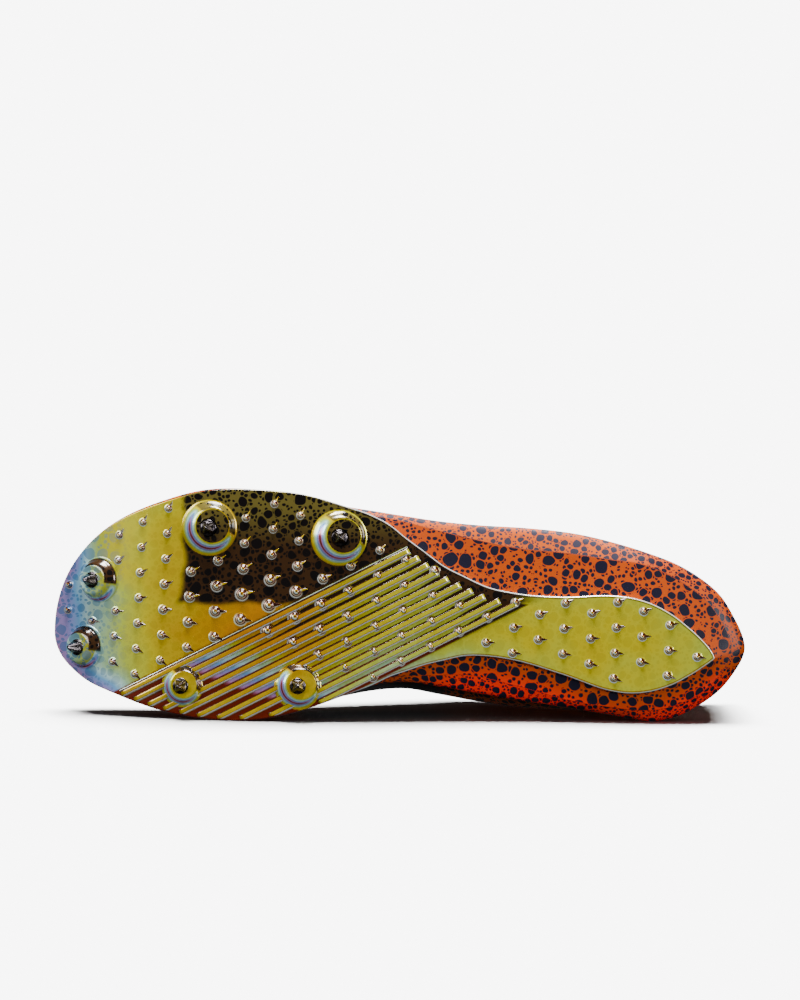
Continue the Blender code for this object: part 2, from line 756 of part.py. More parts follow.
def build_midsole(collection, finish):
    """Make the foam as a closed loft of rings from toe to heel."""
    station = cosine_rows(SOLE_ROWS)
    outer = half_ring(station, 1)
    inner = half_ring(station, -1)
    plate_x = PLATE_LENGTH * station
    seat_mid = BALL_WIDTH * (read(PLATE, "out", station) + read(PLATE, "in", station)) / 2
    under = np.stack([plate_x, -seat_mid, plate_top(plate_x) + GAP], axis=-1)
    over = np.stack([feather_along(station), -middle(station), feather(station)], axis=-1)
    rings = np.stack([under, *outer, over, *reversed(inner)], axis=1)
    midsole = new_object("midsole", closed_loft("midsole", rings), collection)
    midsole.data.materials.append(finish)
    return midsole


def upper_stations():
    """Return rows that crowd at the toe, at the throat's front end and at the heel."""
    start = math.acos(1 - 2 * THROAT_START / LENGTH) / math.pi
    vamp = np.linspace(0, start, VAMP_ROWS)
    quarter = start + (1 - start) * np.linspace(0, 1, QUARTER_ROWS)[1:] ** 1.25
    return (1 - np.cos(math.pi * np.concatenate([vamp, quarter]))) / 2


def build_upper(collection, finish):
    """Make the upper: both half walls joined along toe, vamp ridge and back seam, then thickened."""
    station = upper_stations()
    grids = [side_wall(station, side, 3, 7) for side in (1, -1)]
    mesh = mesh_from_grids("upper", grids)
    upper = new_object("upper", mesh, collection)
    upper.data.materials.append(finish)
    solidify(upper, UPPER_WALL)
    return upper


def inward(points, depth):
    """Move a grid of points square to its surface towards the inside of the last."""
    along = np.gradient(points, axis=0)
    across = np.gradient(points, axis=1)
    normal = np.cross(along, across)
    normal /= np.linalg.norm(normal, axis=2, keepdims=True)
    normal *= np.sign(normal[:, :, 2:3])
    return points - normal * depth


def over_the_instep(x, offset):
    """Return points of the last's ridge zone at given lengths and offsets from the ridge."""
    front = FEATHER_INSET + TOE_LEAN
    back = LENGTH - FEATHER_INSET - HEEL_LEAN
    station = np.clip((x - front) / (back - front), 0, 1)
    grids = []
    for side in (1, -1):
        breadth = np.abs(half_breadth(station, side))
        share = np.clip(np.abs(offset) / breadth, 0, 1) ** (1 / fullness(station, side))
        grids.append(arch_point(station, side, np.arccos(share)))
    return np.where((offset > 0)[:, :, None], grids[0], grids[1])


def build_tongue(collection, finish):
    """Make the tongue under the throat, from under the vamp to above the collar."""
    x = np.linspace(TONGUE_START, THROAT_END + TONGUE_STAND, 11)[:, None]
    across = np.linspace(-1, 1, 9)[None, :]
    rounding = 1 - TONGUE_ROUNDING * np.clip((x - THROAT_END) / TONGUE_STAND, 0, 1) ** 2
    offset = TONGUE_HALF_WIDTH * rounding * across
    surface = over_the_instep(x + 0 * across, offset)
    mesh = mesh_from_grids("tongue", [inward(surface, UPPER_WALL + 2 * GAP)])
    face_out(mesh, (0, 0, 1))
    tongue = new_object("tongue", mesh, collection)
    tongue.data.materials.append(finish)
    solidify(tongue, TONGUE_THICKNESS)
    return tongue


def build_insole(collection, finish):
    """Make the footbed inside the upper, flat under the heel."""
    station = cosine_rows(26)
    rings = []
    front = FEATHER_INSET + INSOLE_FRONT
    back = FEATHER_INSET + INSOLE_BACK
    x = front + (LENGTH - front - back) * station
    low = feather((x - FEATHER_INSET) / (LENGTH - 2 * FEATHER_INSET)) + GAP
    high = low + INSOLE_THICKNESS
    centre = middle(station)
    shrink = 1 - INSOLE_INSET / (0.8 * HALF_BREADTH * BALL_WIDTH)
    for share, height in ((1, low), (1, high), (0.45, high), (-0.45, high), (-1, high), (-1, low), (0, low)):
        side = 1 if share > 0 else -1
        offset = centre + (feather_offset(station, side) - centre) * shrink * abs(share)
        rings.append(np.stack([x, -offset, height], axis=-1))
    insole = new_object("insole", closed_loft("insole", np.stack(rings, axis=1)), collection)
    insole.data.materials.append(finish)
    return insole


def lace_bar(start, end, lift):
    """Return one flat lace bar between two places given as length and offset from the ridge."""
    share = np.linspace(0, 1, 5)
    start = np.array(start)
    end = np.array(end)
    line = start + np.outer(share, end - start)
    along = (end - start) / np.linalg.norm(end - start)
    square = np.array([-along[1], along[0]])
    rings = []
    for half, height in ((-0.5, 0), (0.5, 0), (0.5, 1), (-0.5, 1)):
        spot = line + square * LACE_WIDTH * half
        surface = over_the_instep(spot[:, :1], spot[:, 1:])[:, 0]
        rings.append(surface + np.array([0, 0, lift + LACE_THICKNESS * height]))
    rings = np.stack(rings, axis=1)
    caps = [ring[[0, 1, 3, 2]].reshape(2, 2, 3) for ring in (rings[0], rings[-1])]
    grid = np.concatenate([rings, rings[:, :1]], axis=1)
    return mesh_from_grids("lace_bar", [grid, *caps])


def build_lace(collection, cutters, finish):
    """Make the lace: a straight bar at the front and a cross between each two pairs of eyelets."""
    reach = THROAT_HALF_GAP + EYELET_INSET
    lift = 4 * GAP
    lace = new_object("lace", lace_bar((EYELET_START, -reach), (EYELET_START, reach), lift), collection)
    lace.data.materials.append(finish)
    rising = []
    falling = []
    for number in range(EYELET_PAIRS - 1):
        low = EYELET_START + EYELET_PITCH * number
        turn = 1 if number % 2 else -1
        rising.append(lace_bar((low, turn * reach), (low + EYELET_PITCH, -turn * reach), lift))
        over = lift + 0.35 * LACE_THICKNESS
        falling.append(lace_bar((low, -turn * reach), (low + EYELET_PITCH, turn * reach), over))
    for name, bars in (("lace_rising", rising), ("lace_falling", falling)):
        cutter = new_object(name, join_meshes(name, bars), cutters)
        cutter.hide_render = True
        cutter.display_type = "WIRE"
        boolean(lace, cutter, "UNION")
        lace.modifiers[-1].use_self = True
    return lace


def solid_points(items):
    """Return all evaluated points, and the balance point by volume and density."""
    graph = bpy.context.evaluated_depsgraph_get()
    points = []
    weight = 0.0
    moment = Vector()
    for item, density in items:
        mesh = item.evaluated_get(graph).to_mesh()
        mesh.calc_loop_triangles()
        spots = np.array([vertex.co[:] for vertex in mesh.vertices])
        corners = spots[np.array([triangle.vertices[:] for triangle in mesh.loop_triangles])]
        volume = np.einsum("ij,ij->i", corners[:, 0], np.cross(corners[:, 1], corners[:, 2])) / 6
        centre = (corners.sum(axis=1) / 4 * volume[:, None]).sum(axis=0)
        weight += density * volume.sum()
        moment += density * Vector(centre)
        points.append(spots)
    return np.concatenate(points), moment / weight


def resting_turn(points, balance):
    """Return the turn that lays the shoe on the face of its hull under the balance point.

    Of the faces of the convex hull that look to the medial side, one lies under the balance point.
    """
    hull = bmesh.new()
    for spot in points:
        hull.verts.new(spot)
    bmesh.ops.convex_hull(hull, input=hull.verts)
    hull.faces.ensure_lookup_table()
    best = None
    for face in hull.faces:
        normal = face.normal.copy()
        if normal.dot(face.calc_center_median() - balance) < 0:
            normal.negate()
        if normal.y < 0.5:
            continue
        foot = balance + normal * normal.dot(face.verts[0].co - balance)
        edges = [(loop.vert.co, loop.link_loop_next.vert.co) for loop in face.loops]
        turns = [normal.dot((b - a).cross(foot - a)) for a, b in edges]
        if min(turns) > 0 or max(turns) < 0:
            if best is None or normal.y > best.y:
                best = normal
    hull.free()
    down = best
    ahead = Vector((1, 0, 0))
    ahead = (ahead - down * ahead.dot(down)).normalized()
    side = (-down).cross(ahead)
    return Matrix((ahead, side, -down))


def build():
    """Make every piece standing, then lay the shoe on its medial side."""
    shoe = bpy.data.collections.new("track_spike_shoe")
    cutters = bpy.data.collections.new("cutters")
    bpy.context.scene.collection.children.link(shoe)
    bpy.context.scene.collection.children.link(cutters)
    film = material("plate_film", (0.45, 0.42, 0.07), 0.2, 0.4)
    steel = material("spike_steel", (0.12, 0.11, 0.12), 0.2, 1.0)
    foam = material("foam_orange", (0.75, 0.16, 0.03), 0.5)
    shell = material("upper_orange", (0.78, 0.2, 0.05), 0.6)
    cloth = material("tongue_cloth", (0.08, 0.08, 0.09), 0.8)
    bed = material("insole_cloth", (0.06, 0.06, 0.07), 0.9)
    cord = material("lace_cord", (0.05, 0.05, 0.06), 0.8)
    items = [(build_plate(shoe, cutters, film), DENSITY["plate"])]
    for name, row in BOSSES.items():
        items.append((build_spike("spike_" + name, row, shoe, cutters, steel), DENSITY["spike"]))
    items.append((build_midsole(shoe, foam), DENSITY["foam"]))
    items.append((build_upper(shoe, shell), DENSITY["cloth"]))
    items.append((build_tongue(shoe, cloth), DENSITY["cloth"]))
    items.append((build_insole(shoe, bed), DENSITY["foam"]))
    items.append((build_lace(shoe, cutters, cord), DENSITY["cloth"]))
    bpy.context.view_layer.update()
    points, balance = solid_points(items)
    turn = resting_turn(points, balance)
    laid = points @ np.array(turn).T
    low = laid.min(axis=0)
    high = laid.max(axis=0)
    lying = bpy.data.objects.new("lying", None)
    shoe.objects.link(lying)
    place = Vector((-(low[0] + high[0]) / 2, -(low[1] + high[1]) / 2, -low[2]))
    lying.matrix_world = Matrix.Translation(place) @ turn.to_4x4()
    for item in list(shoe.objects) + list(cutters.objects):
        if item.type == "MESH":
            item.parent = lying
    bpy.context.view_layer.update()


build()
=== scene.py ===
"""Looks of a left track spike shoe that lies on its inner side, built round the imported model."""
import json
import math

import bmesh
import bpy
import numpy as np
from mathutils import Matrix, Vector


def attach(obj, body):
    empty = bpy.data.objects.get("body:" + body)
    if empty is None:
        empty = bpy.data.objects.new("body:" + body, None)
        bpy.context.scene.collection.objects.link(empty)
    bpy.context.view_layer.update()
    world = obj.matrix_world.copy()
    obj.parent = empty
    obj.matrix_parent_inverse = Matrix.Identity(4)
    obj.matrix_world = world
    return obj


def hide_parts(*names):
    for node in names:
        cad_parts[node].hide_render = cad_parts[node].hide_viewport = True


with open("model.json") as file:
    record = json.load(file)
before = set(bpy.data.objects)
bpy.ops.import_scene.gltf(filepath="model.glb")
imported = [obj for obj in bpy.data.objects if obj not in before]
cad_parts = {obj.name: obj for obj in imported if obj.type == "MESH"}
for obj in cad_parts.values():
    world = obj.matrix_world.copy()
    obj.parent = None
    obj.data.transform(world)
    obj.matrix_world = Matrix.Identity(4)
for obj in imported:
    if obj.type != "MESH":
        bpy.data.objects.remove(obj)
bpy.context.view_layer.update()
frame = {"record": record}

# How the shoe lies, and the camera
# Every piece is worked out on the standing shoe: x from toe to heel, y towards the inner side, z up.
# The footbed's flat heel seat is a mount of the CAD model, and its place and direction there give the
# turn that lays the shoe over. The camera looks straight at the sole, so it stays square to that seat.

# The middle of that seat on the standing shoe
SEAT = np.array([0.237154, -0.005869, 0.022500])
SENSOR_WIDTH = 36
PHOTO_CENTRE = (0.1418, -0.0574, 0.0)
PHOTO_FIELD = 0.3266
CAMERA_DISTANCE = 6.0

seat_mount = next(m for m in frame["record"]["mounts"] if m["name"] == "heel_seat")
shoe_up = Vector(seat_mount["axis"]).normalized()
shoe_ahead = Vector((-shoe_up.z, 0, shoe_up.x)).normalized()
shoe_inner = shoe_up.cross(shoe_ahead)
AXES = np.array([shoe_ahead, shoe_inner, shoe_up])
START = np.array(seat_mount["pos_m"]) - SEAT @ AXES


def lay(points):
    """Lay points of the standing shoe on the floor: x, y and z times the three axes, plus the start."""
    return points @ AXES + START


camera = bpy.data.objects.new("camera", bpy.data.cameras.new("camera"))
bpy.context.scene.collection.objects.link(camera)
camera.data.sensor_fit = "HORIZONTAL"
camera.data.sensor_width = SENSOR_WIDTH
camera.data.lens = SENSOR_WIDTH * CAMERA_DISTANCE / PHOTO_FIELD
camera.data.clip_end = 2000
camera_turn = Matrix((shoe_ahead, -shoe_inner, -shoe_up)).transposed().to_4x4()
camera_turn.translation = Vector(lay(np.array(PHOTO_CENTRE))) - shoe_up * CAMERA_DISTANCE
camera.matrix_world = camera_turn
bpy.context.scene.camera = camera


# Outsole plate
# A full-length moulded plate 1.4 mm thick that ends in a leaf point at the heel. It is clear plastic with
# a vacuum-coated film, whose own colour changes along the plate. On top of that, colour is painted by slope:
# cyan, blue and magenta on slopes that face the toe and the inner side are painted reflection, and amber and
# dark red on the others are painted shade. White painted highlights and painted shade in the hollows are
# laid on the film too. It is glued under the foam.

LENGTH = 0.283
PLATE_LENGTH = 0.2704
BALL_WIDTH = 0.0946
TOE_SPRING = 0.033
ARCH_LIFT = 0.008
PLATE_THICKNESS = 0.0014
PLATE_EDGE = 0.00055
BOSS_RADIUS = 0.011
BOSS_HEIGHT = 0.0032


def columns(names, rows):
    """Return a table as one array for each column name."""
    return dict(zip(names, np.array(rows, dtype=float).T))


# Station is a share of PLATE_LENGTH, offsets to the outer side are shares of BALL_WIDTH
PLATE = columns(
    ("station", "out", "in"),
    (
        (0.000, 0.035, 0.035), (0.011, 0.229, -0.072), (0.025, 0.316, -0.119), (0.051, 0.412, -0.178),
        (0.088, 0.501, -0.226), (0.161, 0.595, -0.301), (0.234, 0.648, -0.339), (0.308, 0.652, -0.341),
        (0.382, 0.629, -0.296), (0.439, 0.583, -0.239), (0.484, 0.539, -0.191), (0.510, 0.499, -0.156),
        (0.533, 0.446, -0.134), (0.559, 0.391, -0.109), (0.591, 0.323, -0.087), (0.621, 0.279, -0.069),
        (0.658, 0.231, -0.070), (0.695, 0.207, -0.086), (0.768, 0.189, -0.147), (0.842, 0.195, -0.219),
        (0.871, 0.187, -0.230), (0.897, 0.168, -0.225), (0.934, 0.116, -0.195), (0.963, 0.052, -0.152),
        (0.989, -0.021, -0.104), (1.000, -0.078, -0.078),
    ),
)

# Station is a share of LENGTH, spring and arch are shares of the heights they are named for
UNDERSIDE = columns(
    ("station", "spring", "arch"),
    (
        (0.000, 1.000, 0.00), (0.018, 0.860, 0.00), (0.035, 0.727, 0.00), (0.088, 0.439, 0.00),
        (0.159, 0.210, 0.00), (0.247, 0.053, 0.00), (0.318, 0.000, 0.00), (0.389, 0.000, 0.06),
        (0.459, 0.000, 0.28), (0.530, 0.000, 0.61), (0.601, 0.000, 0.86), (0.671, 0.000, 1.00),
        (0.742, 0.000, 1.00), (0.795, 0.000, 0.91), (0.848, 0.000, 0.80), (0.919, 0.000, 0.93),
        (1.000, 0.000, 1.40),
    ),
)

# Spike bosses: along is a share of PLATE_LENGTH, across of BALL_WIDTH, radius of BOSS_RADIUS
BOSSES = {
    "toe_lateral": (0.0636, 0.262, 0.82),
    "toe_medial": (0.0420, -0.030, 0.80),
    "ball_lateral_front": (0.2367, 0.487, 1.00),
    "ball_lateral_rear": (0.4323, 0.444, 1.00),
    "ball_medial_front": (0.1956, -0.196, 0.76),
    "ball_medial_rear": (0.3698, -0.196, 0.84),
}


def read(table, column, station):
    """Read a column at any station, by cubic curves through its rows.

    Stations are turned to the angle whose cosine they are, which rounds off both ends.
    """
    nodes = np.arccos(1 - 2 * table["station"]) / math.pi
    place = np.arccos(1 - 2 * np.clip(station, 0, 1)) / math.pi
    values = table[column]
    slopes = np.gradient(values, nodes, edge_order=2)
    low = np.clip(np.searchsorted(nodes, place, side="right") - 1, 0, len(nodes) - 2)
    width = nodes[low + 1] - nodes[low]
    u = (place - nodes[low]) / width
    begin = values[low] * (1 + 2 * u) * (1 - u) ** 2 + slopes[low] * width * u * (1 - u) ** 2
    end = values[low + 1] * u**2 * (3 - 2 * u) - slopes[low + 1] * width * u**2 * (1 - u)
    return begin + end


def crowded(count):
    """Stations from 0 to 1 that crowd towards both ends: half of one minus the cosine."""
    return (1 - np.cos(np.linspace(0, math.pi, count))) / 2


def step(value, low, high):
    """A smooth step from 0 at low to 1 at high: 3u squared minus 2u cubed."""
    u = np.clip((value - low) / (high - low), 0, 1)
    return u * u * (3 - 2 * u)


def plate_bottom(x):
    """Height of the plate's underside: toe spring plus arch lift."""
    station = x / LENGTH
    return TOE_SPRING * read(UNDERSIDE, "spring", station) + ARCH_LIFT * read(UNDERSIDE, "arch", station)


def plate_slope(x):
    """How steeply the underside climbs along the shoe: its height's difference over one millimetre."""
    low, high = np.clip(x - 0.0005, 0, LENGTH), np.clip(x + 0.0005, 0, LENGTH)
    return (plate_bottom(high) - plate_bottom(low)) / (high - low)


def plate_edges(x):
    """Outer and inner plan offset of the plate's edge at a length from the toe."""
    station = np.clip(x / PLATE_LENGTH, 0, 1)
    return BALL_WIDTH * read(PLATE, "out", station), BALL_WIDTH * read(PLATE, "in", station)


def off_plate(x, offset, height):
    """Points at a height square to the underside: its point minus the height times its unit normal."""
    slope = plate_slope(x)
    long = np.hypot(1, slope)
    return np.stack([x + height * slope / long, -offset + 0 * x, plate_bottom(x) - height / long], axis=-1)

shoe_pieces = bpy.data.collections.new("shoe_pieces")


def new_piece(name, grids, finish, fields=None, wraps=False, out=None, wall=0.0):
    """Make one object from grids of points (rows, columns, 3) of the standing shoe.

    Neighbours in a grid become quads, and points that meet are merged. Each point keeps its standing
    place in the attribute "last"; fields holds one set of further attributes for each grid. wraps closes
    the columns into a ring, out is the direction that an open surface faces, and wall its thickness inwards.
    """
    quads, count = [], 0
    for grid in grids:
        rows, across = grid.shape[:2]
        index = np.arange(rows * across).reshape(rows, across) + count
        if wraps:
            index = np.concatenate([index, index[:, :1]], axis=1)
        corners = [index[:-1, :-1], index[1:, :-1], index[1:, 1:], index[:-1, 1:]]
        quads.append(np.stack(corners, axis=-1).reshape(-1, 4))
        count += rows * across
    quads = np.concatenate(quads)
    fields = [{"last": grid, **extra} for grid, extra in zip(grids, fields or [{}] * len(grids))]
    fields = {key: np.concatenate([each[key].ravel() for each in fields]) for key in fields[0]}
    mesh = bpy.data.meshes.new(name)
    mesh.vertices.add(count)
    mesh.vertices.foreach_set("co", lay(fields["last"].reshape(-1, 3)).ravel())
    mesh.loops.add(quads.size)
    mesh.loops.foreach_set("vertex_index", quads.ravel().astype(np.int32))
    mesh.polygons.add(len(quads))
    mesh.polygons.foreach_set("loop_start", np.arange(0, quads.size, 4, dtype=np.int32))
    mesh.update(calc_edges=True)
    for key, values in fields.items():
        kind, value = ("FLOAT_VECTOR", "vector") if len(values) == 3 * count else ("FLOAT", "value")
        mesh.attributes.new(key, kind, "POINT").data.foreach_set(value, values)
    shape = bmesh.new()
    shape.from_mesh(mesh)
    bmesh.ops.remove_doubles(shape, verts=shape.verts, dist=2e-6)
    bmesh.ops.dissolve_degenerate(shape, edges=shape.edges, dist=2e-6)
    bmesh.ops.recalc_face_normals(shape, faces=shape.faces)
    if out is not None:
        facing = Vector(np.array(out, dtype=float) @ AXES)
        if sum(face.normal.dot(facing) * face.calc_area() for face in shape.faces) < 0:
            bmesh.ops.reverse_faces(shape, faces=shape.faces)
    for face in shape.faces:
        face.smooth = True
    shape.to_mesh(mesh)
    shape.free()
    mesh.materials.append(finish)
    piece = bpy.data.objects.new(name, mesh)
    bpy.context.scene.collection.objects.link(piece)
    shoe_pieces.objects.link(piece)
    if wall:
        thicken = piece.modifiers.new("Wall", "SOLIDIFY")
        thicken.thickness = wall
        thicken.offset = -1
    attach(piece, "root")
    return piece


def new_finish(name, roughness, metallic=0.0, coat=0.0, coat_roughness=0.05, sheen=0.0, specular=0.5):
    """A Principled material whose constants sit on the shader's own sockets; returns it with its tree."""
    finish = bpy.data.materials.new(name)
    finish.use_nodes = True
    shader = finish.node_tree.nodes["Principled BSDF"]
    for socket, value in (
        ("Roughness", roughness), ("Metallic", metallic), ("Sheen Weight", sheen), ("Coat Weight", coat),
        ("Coat Roughness", coat_roughness), ("Specular IOR Level", specular),
    ):
        shader.inputs[socket].default_value = value
    return finish, finish.node_tree


def surface(tree, colour, roughness=None, height=None, strength=0.0, depth=0.0):
    """Link a colour to the shader, and where given a roughness and a bump of some strength and depth."""
    shader = tree.nodes["Principled BSDF"]
    tree.links.new(colour, shader.inputs["Base Color"])
    if roughness is not None:
        tree.links.new(roughness, shader.inputs["Roughness"])
    if height is not None:
        bump = tree.nodes.new("ShaderNodeBump")
        bump.inputs["Strength"].default_value = strength
        bump.inputs["Distance"].default_value = depth
        tree.links.new(height, bump.inputs["Height"])
        tree.links.new(bump.outputs[0], shader.inputs["Normal"])


def node(tree, kind, *inputs, **settings):
    """Add a node, set its settings, and link or set its inputs in order; None leaves one as it is."""
    made = tree.nodes.new("ShaderNode" + kind)
    for key, value in settings.items():
        setattr(made, key, value)
    for socket, value in zip(made.inputs, inputs):
        if isinstance(value, bpy.types.NodeSocket):
            tree.links.new(value, socket)
        elif value is not None:
            socket.default_value = value
    return made.outputs


def field(tree, name):
    """The output of a piece's own attribute: a vector for "last" and "unrolled", a number for any other."""
    outputs = node(tree, "Attribute", attribute_name=name)
    return outputs["Vector"] if name in ("last", "unrolled") else outputs["Fac"]


def noise(tree, scale, detail):
    """Cloudy noise in the standing shoe's own places, from 0 to 1."""
    return node(tree, "TexNoise", field(tree, "last"), None, scale, detail)["Fac"]


def waves(tree, way, *settings):
    """Parallel waves in one direction, from 0 to 1: scale, distortion and detail."""
    return node(tree, "TexWave", field(tree, "last"), *settings, bands_direction=way)["Fac"]


def maths(tree, operation, first, second):
    """One step of arithmetic."""
    return node(tree, "Math", first, second, operation=operation)[0]


def blend(tree, share, first, second):
    """Mix two colours by a share; plain colours are given as three linear values."""
    first, second = [(*c, 1) if isinstance(c, tuple) else c for c in (first, second)]
    return node(tree, "MixRGB", share, first, second)[0]


def ramp(tree, value, stops, smooth=True):
    """A colour ramp through (position, linear colour) stops."""
    made = tree.nodes.new("ShaderNodeValToRGB")
    made.color_ramp.interpolation = "EASE" if smooth else "LINEAR"
    while len(made.color_ramp.elements) < len(stops):
        made.color_ramp.elements.new(0.5)
    for element, (position, colour) in zip(made.color_ramp.elements, stops):
        element.position = position
        element.color = (*colour, 1)
    tree.links.new(value, made.inputs[0])
    return made.outputs[0]


def threshold(tree, value, low, high):
    """A smooth step of a value between two limits, from 0 to 1."""
    made = tree.nodes.new("ShaderNodeMapRange")
    made.interpolation_type = "SMOOTHSTEP"
    tree.links.new(value, made.inputs["Value"])
    made.inputs["From Min"].default_value = low
    made.inputs["From Max"].default_value = high
    return made.outputs[0]


# Dots: the small ones' cell, radius and gap as shares of their cells, the seeds' randomness, the range of
# sizes, and the least room between neighbours
SMALL_CELL = 0.40
SMALL_RADIUS = 0.38
SMALL_GAP = 0.07
SEED_JITTER = 0.86
SIZE_RANGE = 0.27
ROOM_GAP = 0.04


def spots(tree, place, cell, radius, gap):
    """Random round and oval dots of two sizes on an unrolled surface.

    A large dot is where a flat Voronoi cell's distance from its seed is under a radius and its distance
    from the cell's edge over a gap; the radius is held to the room that the nearest seed leaves. Small
    dots fill the gaps in the same way. The place is bent a little by noise first, so that the dots aren't
    true circles.
    """
    wobble = node(tree, "TexNoise", place, None, 0.9 / cell, 1.0)["Color"]
    centred = node(tree, "VectorMath", wobble, (0.5, 0.5, 0.5), operation="SUBTRACT")[0]
    shift = node(tree, "VectorMath", centred, None, None, 0.45 * cell, operation="SCALE")[0]
    bent = node(tree, "VectorMath", place, shift, operation="ADD")[0]
    inside = []
    for size, reach, edge in ((cell, radius, gap), (SMALL_CELL * cell, SMALL_RADIUS, SMALL_GAP)):
        seeds = (bent, None, 1 / size, *[None] * 5, SEED_JITTER)
        near, rim, room = (
            node(tree, "TexVoronoi", *seeds, voronoi_dimensions="2D", feature=kind)
            for kind in ("F1", "DISTANCE_TO_EDGE", "N_SPHERE_RADIUS")
        )
        chance = node(tree, "SeparateXYZ", near["Color"])[0]
        wide = maths(tree, "ADD", maths(tree, "MULTIPLY", chance, SIZE_RANGE), reach - 0.18)
        wide = maths(tree, "MINIMUM", wide, maths(tree, "SUBTRACT", room["Radius"], ROOM_GAP))
        round_part = maths(tree, "SUBTRACT", wide, near["Distance"])
        edge_part = maths(tree, "SUBTRACT", rim["Distance"], edge)
        inside.append(node(tree, "Math", round_part, edge_part, 0.10, operation="SMOOTH_MIN")[0])
    apart = threshold(tree, maths(tree, "MULTIPLY", inside[0], -1.0), 0.07, 0.11)
    small = maths(tree, "MULTIPLY", threshold(tree, inside[1], -0.05, 0.01), apart)
    return maths(tree, "MAXIMUM", threshold(tree, inside[0], -0.045, -0.015), small)


film, tree = new_finish("plate_film", 0.2, metallic=0.45, coat=1.0, coat_roughness=0.04)
place = field(tree, "last")
across = node(tree, "SeparateXYZ", place)[1]
drift = maths(tree, "MULTIPLY", maths(tree, "SUBTRACT", noise(tree, 90.0, 3.0), 0.5), 0.10)
phase = maths(tree, "ADD", field(tree, "phase"), drift)
coloured = ramp(
    tree,
    phase,
    (
        (0.00, (0.012, 0.004, 0.002)), (0.12, (0.080, 0.006, 0.002)), (0.24, (0.340, 0.070, 0.001)),
        (0.34, (0.600, 0.240, 0.001)), (0.42, (0.600, 0.350, 0.001)), (0.50, (0.660, 0.560, 0.001)),
        (0.58, (0.520, 0.620, 0.060)), (0.66, (0.420, 0.680, 0.360)), (0.74, (0.600, 0.940, 0.940)),
        (0.81, (0.200, 0.500, 0.860)), (0.87, (0.360, 0.360, 0.820)), (0.94, (0.640, 0.300, 0.620)),
        (0.97, (0.450, 0.090, 0.100)), (1.00, (0.200, 0.020, 0.020)),
    ),
    smooth=False,
)
under_dots = spots(tree, place, 0.0054, 0.42, 0.09)
lateral_share = threshold(tree, maths(tree, "MULTIPLY", across, -1.0), 0.036, 0.058)
under = blend(tree, lateral_share, (0.052, 0.022, 0.007), (0.170, 0.135, 0.026))
under = blend(tree, under_dots, under, (0.006, 0.004, 0.004))
faint = maths(tree, "MULTIPLY", under_dots, 0.14)
coloured = blend(tree, faint, coloured, (0.16, 0.10, 0.005))
toe_dots = maths(tree, "MULTIPLY", under_dots, field(tree, "toe"))
coloured = blend(tree, maths(tree, "MULTIPLY", toe_dots, 0.6), coloured, (0.03, 0.22, 0.52))
coloured = blend(tree, field(tree, "window"), coloured, under)
# painted shade in the valleys between the ribs: dark brown, redder towards the inner side
redder = threshold(tree, across, -0.008, 0.014)
valley_shade_colour = blend(tree, redder, (0.030, 0.012, 0.003), (0.210, 0.016, 0.001))
coloured = blend(tree, field(tree, "valley"), coloured, valley_shade_colour)
# painted highlight: white laid over the film where light would catch it
coloured = blend(tree, field(tree, "pearl"), coloured, (0.92, 0.95, 0.92))
surface(tree, coloured)

# Where the ribs run: their count and spacing, how far they are turned from the shoe's length, the first
# rib's start on the inner edge, and how far from the outer edge they end
RIB_COUNT = 10
RIB_PITCH = 0.00435
RIB_TURN = math.radians(26.6)
RIB_ALONG = np.array([math.cos(RIB_TURN), math.sin(RIB_TURN)])
RIB_SQUARE = np.array([math.sin(RIB_TURN), -math.cos(RIB_TURN)])
RIB_FIRST = np.array([0.0269, float(plate_edges(0.0269)[1])])
RIB_START = 0.00077
RIB_END = 0.0042

# The film's own colour along the plate, before any slope: share of PLATE_LENGTH and place on the ramp
FILM = columns(
    ("station", "phase"),
    (
        (0.000, 0.88), (0.037, 0.81), (0.060, 0.705), (0.085, 0.635), (0.115, 0.56), (0.155, 0.48),
        (0.200, 0.455), (0.240, 0.44), (0.300, 0.43), (0.360, 0.43), (0.450, 0.48), (0.560, 0.515),
        (0.700, 0.51), (0.850, 0.505), (0.930, 0.52), (1.000, 0.60),
    ),
)

# The same inwards from the toe's rim
RIM_DEPTH = (0.0, 0.0014, 0.0032, 0.0052, 0.0082, 0.012, 0.020)
RIM_PHASE = (0.94, 0.90, 0.85, 0.78, 0.68, 0.58, 0.45)


def edge_distance(x, offset):
    """How far a place is inside the plate's outline, square to the outline."""
    outer, inner = plate_edges(x)
    ahead_outer, ahead_inner = plate_edges(x + 0.0005)
    from_outer = (outer - offset) / np.hypot(1, (ahead_outer - outer) / 0.0005)
    from_inner = (offset - inner) / np.hypot(1, (ahead_inner - inner) / 0.0005)
    return np.minimum(from_outer, from_inner)


def film_phase(x, offset):
    """The film's place on the colour ramp: by length, with lilac and cyan along the toe's edge."""
    outer, inner = plate_edges(x)
    share = np.clip(2 * (offset - inner) / np.maximum(outer - inner, 1e-5) - 1, -1, 1)
    base = read(FILM, "phase", x / PLATE_LENGTH)
    base = base + 0.05 * share**4 - 0.03 * (1 - share**2) * step(x, 0.05, 0.08) * step(x, 0.13, 0.10)
    base = base + 0.13 * step(offset, 0.006, -0.020) * step(x, 0.105, 0.14) * step(x, 0.195, 0.165)
    base = base - 0.07 * np.exp(-(((x - 0.085) / 0.03) ** 2) - ((offset - 0.004) / 0.012) ** 2)
    drop = 0.20 * step(offset, 0.016, 0.044) * step(x, 0.055, 0.026)
    base = np.maximum(base - drop, np.minimum(base, 0.52))
    rim = np.interp(np.clip(edge_distance(x, offset), 0, 1), RIM_DEPTH, RIM_PHASE)
    near = step(x + 0.7 * np.clip(offset - 0.012, 0, 1), 0.046, 0.014)
    return base + near * np.clip(rim - base, 0, 1)


